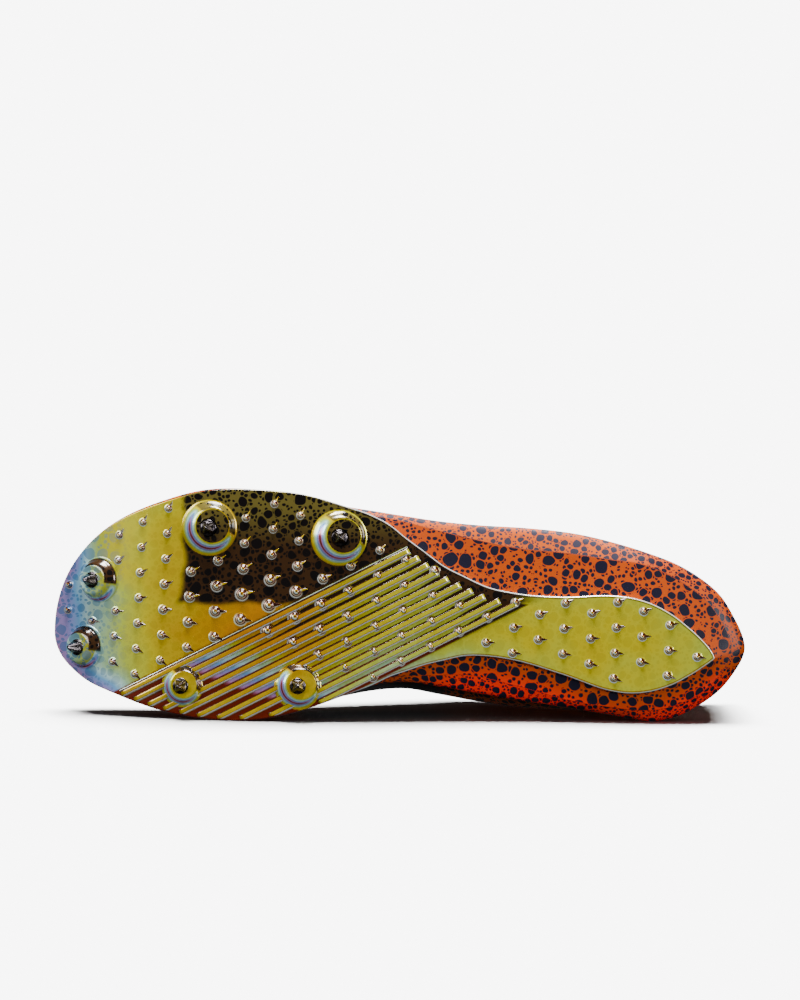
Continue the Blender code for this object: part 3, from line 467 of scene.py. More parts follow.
def window_mask(x, offset):
    """1 where the film is left off and the print under the clear plate shows, outside the ribs' zone."""
    border = 0.0536 + 0.0008 * np.sin(420 * offset) - 0.003 * step(offset, 0.026, 0.016)
    low = 0.0150 + 0.0006 * np.sin(260 * x)
    from_edge = plate_edges(x)[0] - offset
    ribbed = step(rib_number(x, offset), -0.50, -0.38) * step(from_edge, RIB_END + 0.0002, RIB_END + 0.0010)
    shape = step(x, border - 0.0016, border + 0.0016) * step(offset, low - 0.0012, low + 0.0012)
    return shape * step(x, 0.204, 0.188) * (1 - ribbed)


def toe_mask(x):
    """How much of the print shines through the film, at the toe alone."""
    return step(x, 0.034, 0.010)


def rib_number(x, offset):
    """Which rib a place is on, counted square to them from the first one."""
    return ((x - RIB_FIRST[0]) * RIB_SQUARE[0] + (offset - RIB_FIRST[1]) * RIB_SQUARE[1]) / RIB_PITCH


def valley_mask(x, offset):
    """1 in the zone of the ribs, where the floors get painted shade."""
    number = rib_number(x, offset)
    zone = step(number, -0.62, -0.50) * step(number, RIB_COUNT - 0.35, RIB_COUNT - 0.50)
    return zone * step(plate_edges(x)[0] - offset, RIB_END - 0.0006, RIB_END + 0.0002)


# The same across the slanting front on the floors between the ribs
FRONT_PLACE = (-0.009, -0.0065, -0.004, -0.001, 0.003, 0.008)
FRONT_PHASE = (0.97, 0.92, 0.86, 0.78, 0.68, 0.60)


def valley_look(x, offset, share):
    """Phase and painted shade of the floor between two ribs; share runs from one rib's foot to the next.

    The floor is painted dark red near the inner ball as painted shade, then lilac, cyan and green along a
    slanting front, then the film's own yellow. Before the next rib's foot, next to the see-through zone and
    at the outer ends it gets painted shade again.
    """
    front = 0.335 * (x - 0.0668) + 0.942 * (offset + 0.00656)
    own = np.interp(front, FRONT_PLACE, FRONT_PHASE)
    late = step(front, 0.004, 0.012)
    phase = own * (1 - late) + (film_phase(x, offset) + 0.05) * late
    wide = np.interp(rib_number(x, offset), (0, 1, 2, 3, 5, 9), (0.80, 0.66, 0.42, 0.26, 0.20, 0.16))
    outer_end = 0.6 * step(plate_edges(x)[0] - offset, 0.026, 0.008) * step(x, 0.11, 0.13)
    wide = np.maximum(np.maximum(wide * step(x, 0.080, 0.105), outer_end), 0.22)
    dark = np.maximum(step(front, -0.0075, -0.0100), step(share, 0.96 - wide, 1.02 - wide))
    return phase, dark


def unit(vectors):
    """Vectors divided by their length."""
    return vectors / np.maximum(np.linalg.norm(vectors, axis=-1, keepdims=True), 1e-12)


def grid_normal(points):
    """Unit normals of a grid: the cross product of its steps along rows and along columns."""
    return unit(np.cross(np.gradient(points, axis=0), np.gradient(points, axis=1)))


def film_fields(points, own=None, window=None, valley=None, pearl=0):
    """Fields of one film-coated grid: ramp phase, print, toe print, painted valley shade and painted
    highlight.

    Without an own phase the slope is read from the grid: the part of its normal that leans to the toe
    and the inner side, away from the plate's own normal, is added to the film's phase there. This paints
    reflection colours on slopes that lean that way and painted shade on slopes that lean the other way.
    """
    x, offset = points[..., 0], -points[..., 1]
    if own is None:
        normal = grid_normal(points)
        normal *= -np.sign(normal[..., 2:3] + 1e-9)
        slope = plate_slope(x)
        flat = np.stack([slope, 0 * x, -np.ones_like(x)], axis=-1) / np.hypot(1, slope)[..., None]
        lean = normal - flat
        # painted reflection on slopes that lean to the toe and the inner side, painted shade on those that
        # lean away
        own = film_phase(x, offset) + 0.42 * (-0.62 * lean[..., 0] + 0.78 * lean[..., 1])
    looks = {
        "phase": np.clip(own, 0, 1),
        "window": window_mask(x, offset) if window is None else window,
        "toe": toe_mask(x),
        "valley": valley_mask(x, offset) if valley is None else valley,
        "pearl": pearl,
    }
    return {name: values + 0 * x for name, values in looks.items()}


x = PLATE_LENGTH * crowded(420)[:, None]
outer, inner = plate_edges(x)
half = (outer - inner) / 2
inset = np.minimum(PLATE_EDGE, half)
face = (outer + inner) / 2 + (half - inset) * np.sin(np.linspace(-1, 1, 150) * math.pi / 2)
turn = np.linspace(0, 1, 7)[1:]
round_off = turn * math.pi / 2
edge_out = inset * np.concatenate([np.sin(round_off), 1 - 0.35 * turn])
edge_up = -PLATE_THICKNESS * np.concatenate([0.45 * (1 - np.cos(round_off)), 0.45 + 0.53 * turn])
offsets = np.concatenate([face, outer - inset + edge_out, (inner + inset - edge_out)[:, ::-1]], axis=1)
points = off_plate(x, offsets, np.concatenate([0 * face[0], edge_up, edge_up[::-1]]))
depth = edge_distance(x, offsets)
behind = step(x, 0.10, 0.14)
skin_fields = film_fields(points)
# behind the toe a thin white painted highlight runs along the rolled edge, with a thin line of painted shade
# just inside it
skin_fields["pearl"] = behind * step(depth, 0.00055, 0.00035) * 0.7
edge_line = behind * step(depth, 0.0005, 0.0006) * step(depth, 0.0011, 0.0009) * 0.75
skin_fields["valley"] = np.maximum(skin_fields["valley"], edge_line)
plate = new_piece("plate_skin", [points], film, [skin_fields], wraps=True)
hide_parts("outsole_plate")

# Ribs: ten flat-topped bars whose outer flank is painted dark as painted shade and whose inner one is
# painted pale as a painted highlight, and the floor up to the next rib. Columns are across in rib pitches,
# up in rib heights, place on the ramp or below zero for the film's own place, painted highlight, and 1 on
# the floor. The first rib has a low border before it, with a painted highlight too.
RIB_HEIGHT = 0.0008
RIB_FOOT = 0.306
RIB_PROFILE = np.array(
    [
        (-0.305, -0.04, 0.02, 0.0, 0), (-0.290, 0.35, 0.02, 0.0, 0), (-0.270, 0.85, 0.02, 0.0, 0),
        (-0.215, 1.00, 0.03, 0.0, 0), (-0.195, 1.03, -1.0, 0.0, 0), (-0.090, 1.04, -1.0, 0.0, 0),
        (0.060, 1.04, -1.0, 0.0, 0), (0.120, 1.04, -1.0, 0.0, 0), (0.140, 1.03, 0.03, 0.0, 0),
        (0.163, 1.01, 0.03, 0.0, 0), (0.180, 0.99, 0.72, 0.8, 0), (0.225, 0.90, 0.74, 1.0, 0),
        (0.262, 0.60, 0.76, 0.8, 0), (0.288, 0.25, 0.80, 0.3, 0), (RIB_FOOT, 0.05, 0.40, 0.0, 0),
        *((across, 0.03, 0.0, 0.0, 1) for across in np.linspace(0.330, 0.645, 8)),
        (0.695, 0.00, 0.0, 0.0, 1),
    ]
)
RIB_BORDER = np.array(
    [
        (-0.46, -0.04, -1.0, 0.0, 0), (-0.44, 0.03, 0.60, 0.0, 0), (-0.415, 0.10, 0.74, 0.5, 0),
        (-0.385, 0.10, 0.78, 0.5, 0), (-0.355, 0.04, 0.05, 0.0, 0),
    ]
)


def inside_plate(x, offset, margin):
    """Hold an offset a margin inside the plate's outline."""
    outer, inner = plate_edges(x)
    return np.clip(offset, inner + margin, outer - margin)


grids, fields = [], []
for number in range(RIB_COUNT):
    profile = RIB_PROFILE if number else np.concatenate([RIB_BORDER, RIB_PROFILE])
    if number == RIB_COUNT - 1:
        profile = RIB_PROFILE[RIB_PROFILE[:, 4] < 1]
    across, up, tone, pearl, floor = profile.T
    start = RIB_FIRST + RIB_SQUARE * RIB_PITCH * number
    path = start + np.outer(np.linspace(-0.08, 0.28, 3000), RIB_ALONG)
    outer, inner = plate_edges(path[:, 0])
    on = (path[:, 0] > 0) & (path[:, 1] < outer - RIB_END) & (path[:, 1] > inner + RIB_START)
    line = path[on][[0, -1]]
    share = np.concatenate([[0, 0.0012], np.linspace(0.004, 0.996, 160), [0.9988, 1]])[:, None]
    ends = np.sin(math.pi * np.clip(share * 60, 0, 0.5)) * np.sin(math.pi * np.clip((1 - share) * 60, 0, 0.5))
    spine = line[0] + share * (line[1] - line[0])
    spot = spine[:, None] + RIB_SQUARE * (RIB_PITCH * across)[:, None]
    x = spot[..., 0]
    offset = inside_plate(x, spot[..., 1], PLATE_EDGE)
    grids.append(off_plate(x, offset, RIB_HEIGHT * np.where(up > 0.06, up * (0.06 + 0.94 * ends), up)))
    base = np.minimum(film_phase(x, offset), np.interp(x, (0.08, 0.12), (0.45, 0.62)))
    floor_phase, floor_dark = valley_look(x, offset, np.clip((across - RIB_FOOT) / 0.389, 0, 1))
    own = np.where(floor > 0, floor_phase, np.where(tone < 0, base, tone))
    fields.append(film_fields(grids[-1], own, 0, np.where(floor > 0, floor_dark, 0), pearl))
new_piece("plate_ribs", grids, film, fields, out=(0, 0, -1))

# Bosses: a swept flank, a rounded rim and a dished seat round each spike. Columns are shares of a boss's
# radius and height. The toe's two are drawn wider at the back, the others have their rims swept to the heel.
BOSS_PROFILE = np.array(
    [
        (1.10, -0.03), (1.03, 0.01), (0.98, 0.07), (0.93, 0.18), (0.88, 0.34), (0.83, 0.54), (0.78, 0.73),
        (0.73, 0.88), (0.68, 0.965), (0.64, 1.00), (0.60, 1.00), (0.50, 0.99), (0.42, 0.985), (0.37, 1.0),
        (0.345, 0.99), (0.34, 0.90), (0.335, 0.40), (0.33, 0.10),
    ]
)
TOE_BOSS_SHIFT = 0.0017


def boss_place(along, across):
    """Centre of a boss on the underside, with its two directions in the plate and the one out of it."""
    x = PLATE_LENGTH * along
    slope = float(plate_slope(np.array(x)))
    out = np.array([slope, 0, -1]) / math.hypot(1, slope)
    side = np.array([0, 1.0, 0])
    centre = np.array([x, -BALL_WIDTH * across, float(plate_bottom(np.array(x)))])
    return centre, np.cross(side, out), side, out


def rings(place, turns, radius, height):
    """Rings round a boss's centre: radius in the plate's plane, by ring or by point, and height out of it."""
    centre, first, second, out = place
    ring = np.cos(turns)[:, None] * first + np.sin(turns)[:, None] * second
    return centre + radius[..., None] * ring + height[..., None] * out


around = np.linspace(0, 2 * math.pi, 73)[:-1]
key = np.arange(len(BOSS_PROFILE))
share, up = (np.interp(np.linspace(0, key[-1], 58), key, column)[:, None] for column in BOSS_PROFILE.T)
grids, fields = [], []
for name, (boss_along, boss_across, size) in BOSSES.items():
    place = boss_place(boss_along, boss_across)
    centre, first, second, out = place
    heelward = np.sign(first[0])
    at_toe = name.startswith("toe")
    grid = rings(place, around, BOSS_RADIUS * size * share, BOSS_HEIGHT * up)
    if at_toe:
        grid += (TOE_BOSS_SHIFT * np.clip((share - 0.6) / 0.4, 0, 1.2))[..., None] * first * heelward
    else:
        swept = np.clip((share - 0.36) / 0.1, 0, 1) * (1 - np.clip((share - 0.64) / 0.36, 0, 1))
        grid += swept[..., None] * size * (0.0018 * first * heelward - 0.0007 * second)
    hug = np.clip((share - 0.9) / 0.15, 0, 1)[..., None]
    flat = off_plate(grid[..., 0], -grid[..., 1], 0)
    grid = grid * (1 - hug) + (flat + BOSS_HEIGHT * up[..., None] * out) * hug
    x, offset = grid[..., 0], inside_plate(grid[..., 0], -grid[..., 1], 0.0002)
    grid[..., 1] = -offset
    grids.append(grid)
    base = film_phase(x, offset)
    if at_toe:
        green = 0.64 - 0.09 * np.cos(around) * heelward * np.clip(share / 0.6, 0, 1)
        base = np.where(share < 0.84, green, base)
    # painted reflection: a bright band on the flank that faces the lower left; painted shade: a dark crescent
    # on the flank that faces the upper right, filled with the see-through print
    towards = -0.62 * np.cos(around) * first[0] + 0.78 * np.sin(around) * second[1]
    band_at, band_half = (0.91, 0.11) if at_toe else (0.81, 0.19)
    band = np.clip(1 - np.abs(share - band_at) / band_half, 0, 1)
    own = base + band * np.clip(towards + 0.25, 0, 0.8) ** 0.4 * 1.08 * (1.02 - base)
    shade = step(share, 0.62, 0.68) * step(share, 1.01, 0.96) * step(towards, -0.30, -0.36)
    seat_seen = float(window_mask(centre[0], -centre[1]) > 0.5)
    seen = np.where(share < 0.62, seat_seen, window_mask(x, offset) * step(share, 1.0, 1.08))
    fields.append(film_fields(grid, own, np.maximum(seen, shade), 0))
new_piece("plate_bosses", grids, film, fields, wraps=True, out=(0, 0, -1))

# Studs: about a hundred low cones with a blunt tip, each with a drawn-out tail towards the heel. A row is
# its share of PLATE_LENGTH, its first stud's share of BALL_WIDTH and its count. The profile's columns are
# share of the radius, share of the height, place on the ramp on the painted lit side and on the painted
# shaded side, and painted highlight. The rings, the cyan halo to the lower left and the white spots are
# painted reflection and painted highlight.
STUD_PITCH = 0.01035
STUD_RADIUS = 0.0013
STUD_HEIGHT = 0.001395
STUD_MARGIN = 0.0005
TAIL_HEIGHT = 0.00045
STUD_ROWS = (
    (0.023, 0.240, 2), (0.058, 0.084, 1), (0.100, 0.455, 7), (0.136, 0.511, 7), (0.175, 0.571, 7),
    (0.209, 0.298, 4), (0.250, 0.345, 4), (0.292, 0.529, 5), (0.335, 0.590, 6), (0.374, 0.540, 6),
    (0.408, 0.267, 4), (0.450, 0.323, 6), (0.494, 0.390, 6), (0.534, 0.348, 5), (0.577, 0.302, 4),
    (0.618, 0.258, 3), (0.659, 0.210, 3), (0.699, 0.165, 3), (0.736, 0.113, 3), (0.775, 0.161, 3),
    (0.815, 0.118, 3), (0.854, 0.165, 4), (0.893, 0.126, 4), (0.933, 0.067, 3), (0.974, -0.071, 1),
)
STUD_PROFILE = np.array(
    [
        (1.52, -0.05, 0.50, 0.50, 0.0), (1.36, 0.02, 0.64, 0.56, 0.2), (1.22, 0.04, 0.74, 0.66, 0.7),
        (1.12, 0.06, 0.76, 0.30, 0.7), (1.06, 0.08, 0.05, 0.02, 0.1), (0.92, 0.20, 0.04, 0.02, 0.0),
        (0.87, 0.34, 0.40, 0.05, 0.35), (0.76, 0.50, 0.44, 0.10, 0.50), (0.68, 0.56, 0.40, 0.08, 0.35),
        (0.63, 0.60, 0.04, 0.03, 0.0), (0.52, 0.76, 0.05, 0.03, 0.0), (0.46, 0.84, 0.76, 0.06, 0.5),
        (0.30, 0.94, 0.80, 0.44, 0.35), (0.18, 0.92, 0.44, 0.30, 0.1), (0.10, 0.88, 0.04, 0.04, 0.0),
        (0.00, 0.86, 0.04, 0.04, 0.0),
    ]
)
spin = np.linspace(0, 2 * math.pi, 21)[:-1]
# lit: how much painted light each side of a stud gets, most towards the lower left
lit = np.clip(0.5 + 0.75 * (-0.55 * np.cos(spin) - 0.83 * np.sin(spin)), 0, 1)
share, up, bright, dark, shine = (column[:, None] for column in STUD_PROFILE.T)
u, v = np.linspace(0, 1, 7)[:, None], np.linspace(-1, 1, 7)
grids, fields, tails, tail_fields = [], [], [], []
for row_along, first_across, count in STUD_ROWS:
    for number in range(count):
        sx = PLATE_LENGTH * row_along - 0.055 * STUD_PITCH * number
        so = BALL_WIDTH * first_across - STUD_PITCH * number
        room = min(
            math.hypot(sx - PLATE_LENGTH * along, so - BALL_WIDTH * across) - BOSS_RADIUS * size
            for along, across, size in BOSSES.values()
        )
        if room < STUD_RADIUS or inside_plate(sx, so, 0.0025) != so:
            continue
        in_ribs = valley_mask(sx, so) > 0.5
        central = math.exp(-(((sx - 0.085) / 0.035) ** 2) - ((so - 0.015) / 0.018) ** 2)
        reach = STUD_RADIUS + 0.0010 * central + 0.0002 * step(sx, 0.14, 0.18) + 0.0003 * in_ribs
        x = sx + reach * share * np.cos(spin)
        offset = inside_plate(x, so + reach * share * np.sin(spin), STUD_MARGIN)
        own = dark * (1 - lit) + bright * lit
        own = np.where(share > 1.1, film_phase(x, offset) + (own - 0.49) * lit, own)
        foot = share > 1.2
        window, valley = window_mask(x, offset) * foot, valley_mask(x, offset) * foot
        grids.append(off_plate(x, offset, STUD_HEIGHT * up))
        fields.append(film_fields(grids[-1], own, window, valley, shine * lit))
        if in_ribs or sx < 0.012:
            continue
        axis, most = (0.013, 28) if sx < 0.15 else (0.0, 22.4)
        swing = math.radians(most) * float(np.clip((so - axis) / 0.015, -1.6, 2.2))
        run = 0.75 * reach + (0.95 * reach + 0.0013) * u
        half = 0.60 * reach * (1 - u) ** 0.85 * v
        x = sx + run * math.cos(swing) - half * math.sin(swing)
        offset = inside_plate(x, so + run * math.sin(swing) + half * math.cos(swing), STUD_MARGIN)
        # most of each tail is painted shade and a narrow strip along one flank a painted highlight; in the
        # see-through zone a yellow middle with painted shade at its sides and a painted highlight at its root
        own, pearl = np.where(v > -0.55, 0.03, 0.72), 0.4 * (v < -0.55) * (1 - u)
        if window_mask(sx, so) > 0.5:
            own = np.where(np.abs(v) < 0.6, 0.48, 0.03)
            pearl = np.clip(0.7 - 2.2 * u, 0, 1) * (np.abs(v) < 0.5)
        tail_up = TAIL_HEIGHT * (1 - u) * (1 - np.abs(v)) + 0.00005 - 0.0001 * (np.abs(v) > 0.99)
        tails.append(off_plate(x, offset, tail_up))
        tail_fields.append(film_fields(tails[-1], own, 0, 0, pearl))
new_piece("plate_studs", grids, film, fields, wraps=True, out=(0, 0, -1))
new_piece("plate_stud_tails", tails, film, tail_fields, out=(0, 0, -1))


# Spikes
# Six short replaceable spikes of hardened steel, blued dark and polished. Each is a round shoulder that is
# screwed down into its boss, with a four-sided point ground on it.

SPIKE_RADIUS = 0.0033
SPIKE_LENGTH = 0.006
SPIKE_SEAT = 1.156
steel, tree = new_finish("spike_steel", 0.16, metallic=1.0)
wear = noise(tree, 900.0, 4.0)
blued = ramp(tree, wear, ((0.3, (0.035, 0.03, 0.035)), (0.7, (0.16, 0.14, 0.15))))
surface(tree, blued, maths(tree, "ADD", maths(tree, "MULTIPLY", wear, 0.25), 0.08))

# The shoulder's outline, as shares of SPIKE_RADIUS and of BOSS_HEIGHT; the point stands on it
SHOULDER = np.array(
    [
        (0.0, -0.09), (0.93, -0.09), (1.0, -0.05), (1.0, 1.05), (0.97, 1.11), (0.90, 1.13), (0.80, 1.135),
        (0.78, 1.15),
    ]
)
turns = np.linspace(0, 2 * math.pi, 49)[:-1] + math.pi / 4
collar, low = SHOULDER.T * np.array([[SPIKE_RADIUS], [BOSS_HEIGHT]])
up = np.linspace(0, 1, 16)
square = 1 / (np.abs(np.cos(turns)) ** 5 + np.abs(np.sin(turns)) ** 5) ** 0.2
reach = collar[-1] * (1 - up) ** 0.92 + 0.00028 * np.sqrt(np.clip(1 - up**6, 0, 1))
reach[-1] = 0
top = low[-1] + (BOSS_HEIGHT * SPIKE_SEAT + SPIKE_LENGTH - low[-1]) * up
radius = np.concatenate([collar[:, None] + 0 * turns, reach[:, None] * (0.25 + 0.75 * square**2 / 1.3)])
height = np.concatenate([low, top])[:, None]
for name, (boss_along, boss_across, size) in BOSSES.items():
    grid = rings(boss_place(boss_along, boss_across), turns, radius, height)
    spike = new_piece("spike_" + name + "_steel", [grid], steel, wraps=True)
    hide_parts("spike_" + name)


# Foam midsole
# One piece of moulded foam, deep under the heel and thin at the toe, with a soft ridge round its lower edge.
# It is orange with random black dots printed all over. A deep red is painted on the inner side towards
# its outer edge as painted shade, and the side wall above the ridge is painted paler, with greyer dots, as
# a painted highlight and sheen.

FEATHER_INSET = 0.0016
FORE_FOAM = 0.0059
HEEL_SEAT = 0.0192
GAP = 0.0003
PLATE_OVERHANG = 0.0015
RIDGE_SHARE = 0.16
RIDGE_COLUMN = 16
WALL_MAP = 1.45
WIDEST_SHARE = 0.62
HALF_BREADTH = 0.38

# A side is 1 on the outer and -1 on the inner side of the shoe
SIDE = {1: "out", -1: "in"}

# Station is a share of LENGTH, offsets are shares of BALL_WIDTH
PLAN = columns(
    ("station", "ridge_out", "ridge_in", "foam_out", "foam_in", "upper_out", "upper_in"),
    (
        (0.000, 0.035, 0.035, 0.035, 0.035, 0.035, 0.035),
        (0.010, 0.211, -0.055, 0.217, -0.061, 0.211, -0.058),
        (0.024, 0.303, -0.104, 0.309, -0.110, 0.307, -0.108),
        (0.048, 0.402, -0.161, 0.408, -0.167, 0.411, -0.164),
        (0.084, 0.494, -0.209, 0.500, -0.215, 0.503, -0.211),
        (0.154, 0.592, -0.283, 0.598, -0.289, 0.601, -0.278),
        (0.224, 0.645, -0.321, 0.651, -0.327, 0.650, -0.311),
        (0.294, 0.645, -0.322, 0.651, -0.328, 0.648, -0.312),
        (0.364, 0.617, -0.281, 0.623, -0.286, 0.615, -0.279),
        (0.420, 0.573, -0.231, 0.580, -0.236, 0.575, -0.241),
        (0.463, 0.545, -0.186, 0.559, -0.193, 0.550, -0.218),
        (0.509, 0.518, -0.156, 0.537, -0.180, 0.529, -0.210),
        (0.558, 0.480, -0.150, 0.515, -0.200, 0.507, -0.235),
        (0.611, 0.441, -0.150, 0.499, -0.228, 0.488, -0.264),
        (0.682, 0.397, -0.195, 0.486, -0.264, 0.471, -0.293),
        (0.753, 0.376, -0.253, 0.462, -0.296, 0.444, -0.302),
        (0.822, 0.347, -0.288, 0.413, -0.332, 0.393, -0.307),
        (0.864, 0.330, -0.302, 0.373, -0.350, 0.352, -0.323),
        (0.898, 0.294, -0.295, 0.334, -0.332, 0.313, -0.309),
        (0.933, 0.238, -0.262, 0.274, -0.282, 0.252, -0.263),
        (0.965, 0.164, -0.205, 0.192, -0.211, 0.173, -0.196),
        (0.986, 0.079, -0.135, 0.090, -0.132, 0.076, -0.123),
        (1.000, -0.042, -0.042, -0.032, -0.032, -0.032, -0.032),
    ),
)

# Heights of foam and upper along the length, as shares of the sizes that they are named for; crest is
# the plan offset of the instep's ridge, full_out and full_in the powers that shape a section's sides
PROFILE = columns(
    ("station", "fore", "seat", "bulge", "box", "instep", "crest", "full_out", "full_in"),
    (
        (0.000, 0.55, 0.000, 0.10, 0.115, 0.000, 0.035, 0.88, 0.88),
        (0.018, 0.42, 0.000, 0.25, 0.380, 0.000, 0.075, 0.88, 0.88),
        (0.035, 0.48, 0.000, 0.35, 0.620, 0.000, 0.095, 0.88, 0.88),
        (0.088, 0.55, 0.000, 0.48, 1.000, 0.000, 0.115, 0.88, 0.88),
        (0.159, 0.67, 0.000, 0.58, 0.970, 0.113, 0.127, 0.88, 0.88),
        (0.247, 0.88, 0.000, 0.63, 0.720, 0.295, 0.127, 0.88, 0.88),
        (0.318, 1.00, 0.000, 0.67, 0.500, 0.476, 0.127, 0.88, 0.88),
        (0.389, 0.79, 0.150, 0.74, 0.300, 0.650, 0.134, 0.88, 0.88),
        (0.459, 0.58, 0.345, 0.80, 0.130, 0.797, 0.134, 0.88, 0.88),
        (0.530, 0.36, 0.565, 0.86, 0.030, 0.910, 0.126, 0.88, 0.86),
        (0.601, 0.18, 0.765, 0.92, 0.000, 1.000, 0.108, 0.92, 0.80),
        (0.671, 0.05, 0.905, 0.96, 0.000, 1.095, 0.083, 1.02, 0.70),
        (0.742, 0.00, 0.985, 1.00, 0.000, 1.150, 0.055, 1.18, 0.58),
        (0.795, 0.00, 1.000, 1.00, 0.000, 1.165, 0.036, 1.22, 0.68),
        (0.848, 0.00, 1.000, 1.00, 0.000, 1.170, 0.016, 1.14, 0.90),
        (0.919, 0.00, 1.000, 1.03, 0.000, 1.165, -0.010, 1.00, 1.00),
        (1.000, 0.00, 1.000, 1.05, 0.000, 1.150, -0.032, 0.88, 0.88),
    ),
)


def feather(station):
    """Height of the line where foam and upper meet: spring, plate and forefoot foam, and heel seat."""
    spring = TOE_SPRING * read(UNDERSIDE, "spring", station)
    fore = (PLATE_THICKNESS + FORE_FOAM) * read(PROFILE, "fore", station)
    return spring + fore + HEEL_SEAT * read(PROFILE, "seat", station)


def middle(station):
    """Plan offset of the last's ridge."""
    return BALL_WIDTH * read(PROFILE, "crest", station)


def plan(line, station, side):
    """Plan offset of one of the lines in the PLAN table, on one side."""
    return BALL_WIDTH * read(PLAN, line + "_" + SIDE[side], station)


def feather_offset(station, side):
    """Plan offset of the feather line: the foam's widest line drawn in towards the ridge."""
    wide = plan("foam", station, side) - middle(station)
    return middle(station) + wide * (1 - FEATHER_INSET / (HALF_BREADTH * BALL_WIDTH))


def feather_x(station):
    """Length of the feather line's point at a station."""
    return FEATHER_INSET + (LENGTH - 2 * FEATHER_INSET) * station


def plate_top(x):
    """Height of the plate's upper face: one thickness square to the underside."""
    return plate_bottom(x) + PLATE_THICKNESS * np.hypot(1, plate_slope(x))


def plate_middle(station):
    """Plan offset of the middle of the plate at a station of its own length."""
    return BALL_WIDTH * (read(PLATE, "out", station) + read(PLATE, "in", station)) / 2


def foam_half(station, side):
    """Half of the foam's ring at each station, as key points from under the plate up to the feather line."""
    ridge_start, ridge_length = 0.4 * FEATHER_INSET, LENGTH - 4 * FEATHER_INSET
    ridge_x, plate_x = ridge_start + ridge_length * station, PLATE_LENGTH * station
    ridge, foam = plan("ridge", station, side), plan("foam", station, side)
    overhang = PLATE_OVERHANG * np.clip(np.sin(math.pi * station), 0, 1) ** 0.5
    there = plan("ridge", (plate_x - ridge_start) / ridge_length, side)
    edge = BALL_WIDTH * read(PLATE, SIDE[side], station)
    land = side * np.minimum(side * edge - overhang, side * there - 0.3 * overhang)
    low, side_low, high = plate_top(plate_x) + GAP, plate_top(ridge_x) + GAP, feather(station)
    foam_x, foot_x, foot = LENGTH * station, feather_x(station), feather_offset(station, side)
    keys = [
        (plate_x, (plate_middle(station) + land) / 2, low),
        (plate_x, land, low),
        (ridge_x, ridge, side_low + (high - side_low) * RIDGE_SHARE),
        ((ridge_x + 2 * foam_x) / 3, ridge + (foam - ridge) * 0.72, side_low + (high - side_low) * 0.36),
        (foam_x, foam, side_low + (high - side_low) * WIDEST_SHARE),
        (foot_x, foot, high),
        (foot_x, (middle(station) + foot) / 2, high),
    ]
    return [np.stack([x, -offset, z], axis=-1) for x, offset, z in keys]


def through(keys, cuts, corner):
    """Points of a smooth curve through key points, by cubic pieces with each slope from its neighbours.

    A corner under one tightens the bend at the second key.
    """
    keys = np.stack(keys, axis=1)
    slopes = np.gradient(keys, axis=1)
    slopes[:, 1] *= corner
    parts = []
    for number, count in enumerate(cuts):
        u = np.linspace(0, 1, count, endpoint=False)[None, :, None]
        a, b, begin, end = (one[:, at][:, None] for one in (keys, slopes) for at in (number, number + 1))
        near = a * (1 + 2 * u) * (1 - u) ** 2 + begin * u * (1 - u) ** 2
        parts.append(near + b * u**2 * (3 - 2 * u) - end * u**2 * (1 - u))
    return np.concatenate(parts, axis=1)


def run_length(points, axis):
    """Length from the start along one axis of a line or grid of points, added up step by step."""
    steps = np.diff(points, axis=axis, prepend=np.take(points, [0], axis=axis))
    return np.linalg.norm(steps, axis=-1).cumsum(axis=axis)


def foam_map(points):
    """A flat map of one half of the foam.

    Its plan place is pushed outwards by as much as the length over the surface from the plate's middle is
    more than the plan distance. Above the ridge the map is larger, which makes the dots there smaller.
    """
    way = np.gradient(points[..., :2], axis=0)
    across = unit(np.stack([way[..., 1], -way[..., 0]], axis=-1))
    centre = np.stack([np.clip(points[..., 0], 0.045, 0.245), 0 * points[..., 0]], axis=-1)
    across *= np.sign((across * (points[..., :2] - centre)).sum(axis=-1, keepdims=True) + 1e-9)
    straight = np.linalg.norm(points[..., :2] - points[:, :1, :2], axis=-1)
    flat = points[..., :2] + across * np.maximum(run_length(points, 1) - straight, 0)[..., None]
    flat[:, RIDGE_COLUMN + 1 :] *= WALL_MAP
    return np.concatenate([flat, np.zeros_like(flat[..., :1])], axis=-1)


foam, tree = new_finish("foam_orange", 0.42, coat=0.04, coat_roughness=0.25, specular=0.12)
dots = spots(tree, field(tree, "unrolled"), 0.0057, 0.49, 0.06)
base = blend(tree, noise(tree, 60.0, 3.0), (0.36, 0.043, 0.000), (0.44, 0.060, 0.000))
# painted highlight and sheen: the side wall above the ridge is painted paler and its dots greyer
painted_wall_light = maths(tree, "MULTIPLY", field(tree, "wall"), 0.42)
base = blend(tree, painted_wall_light, base, (0.70, 0.135, 0.015))
# painted shade: deep red along the inner side near the plate's edge
base = blend(tree, field(tree, "glow"), base, (0.85, 0.016, 0.001))
print_colour = blend(tree, painted_wall_light, (0.010, 0.009, 0.020), (0.080, 0.070, 0.095))
shine = maths(tree, "SUBTRACT", 0.46, maths(tree, "MULTIPLY", dots, 0.12))
surface(tree, blend(tree, dots, base, print_colour), shine, noise(tree, 1500.0, 3.0), 0.12, 0.0003)

station = crowded(300)
plate_x = PLATE_LENGTH * station
under = np.stack([plate_x, -plate_middle(station), plate_top(plate_x) + GAP], axis=-1)
over = np.stack([feather_x(station), -middle(station), feather(station)], axis=-1)
halves = []
for side in (1, -1):
    keys = [under, *foam_half(station, side), over]
    straight = np.stack(keys, axis=1)
    bulging = through(keys[2:7], (14, 10, 12, 10), corner=0.2)
    halves.append(np.concatenate([straight[:, :2], bulging, straight[:, 6:]], axis=1))


def joined(first, second):
    """Two halves as one ring: the second one backwards, without the two columns that they share."""
    return np.concatenate([first, second[:, ::-1][:, 1:-1]], axis=1)


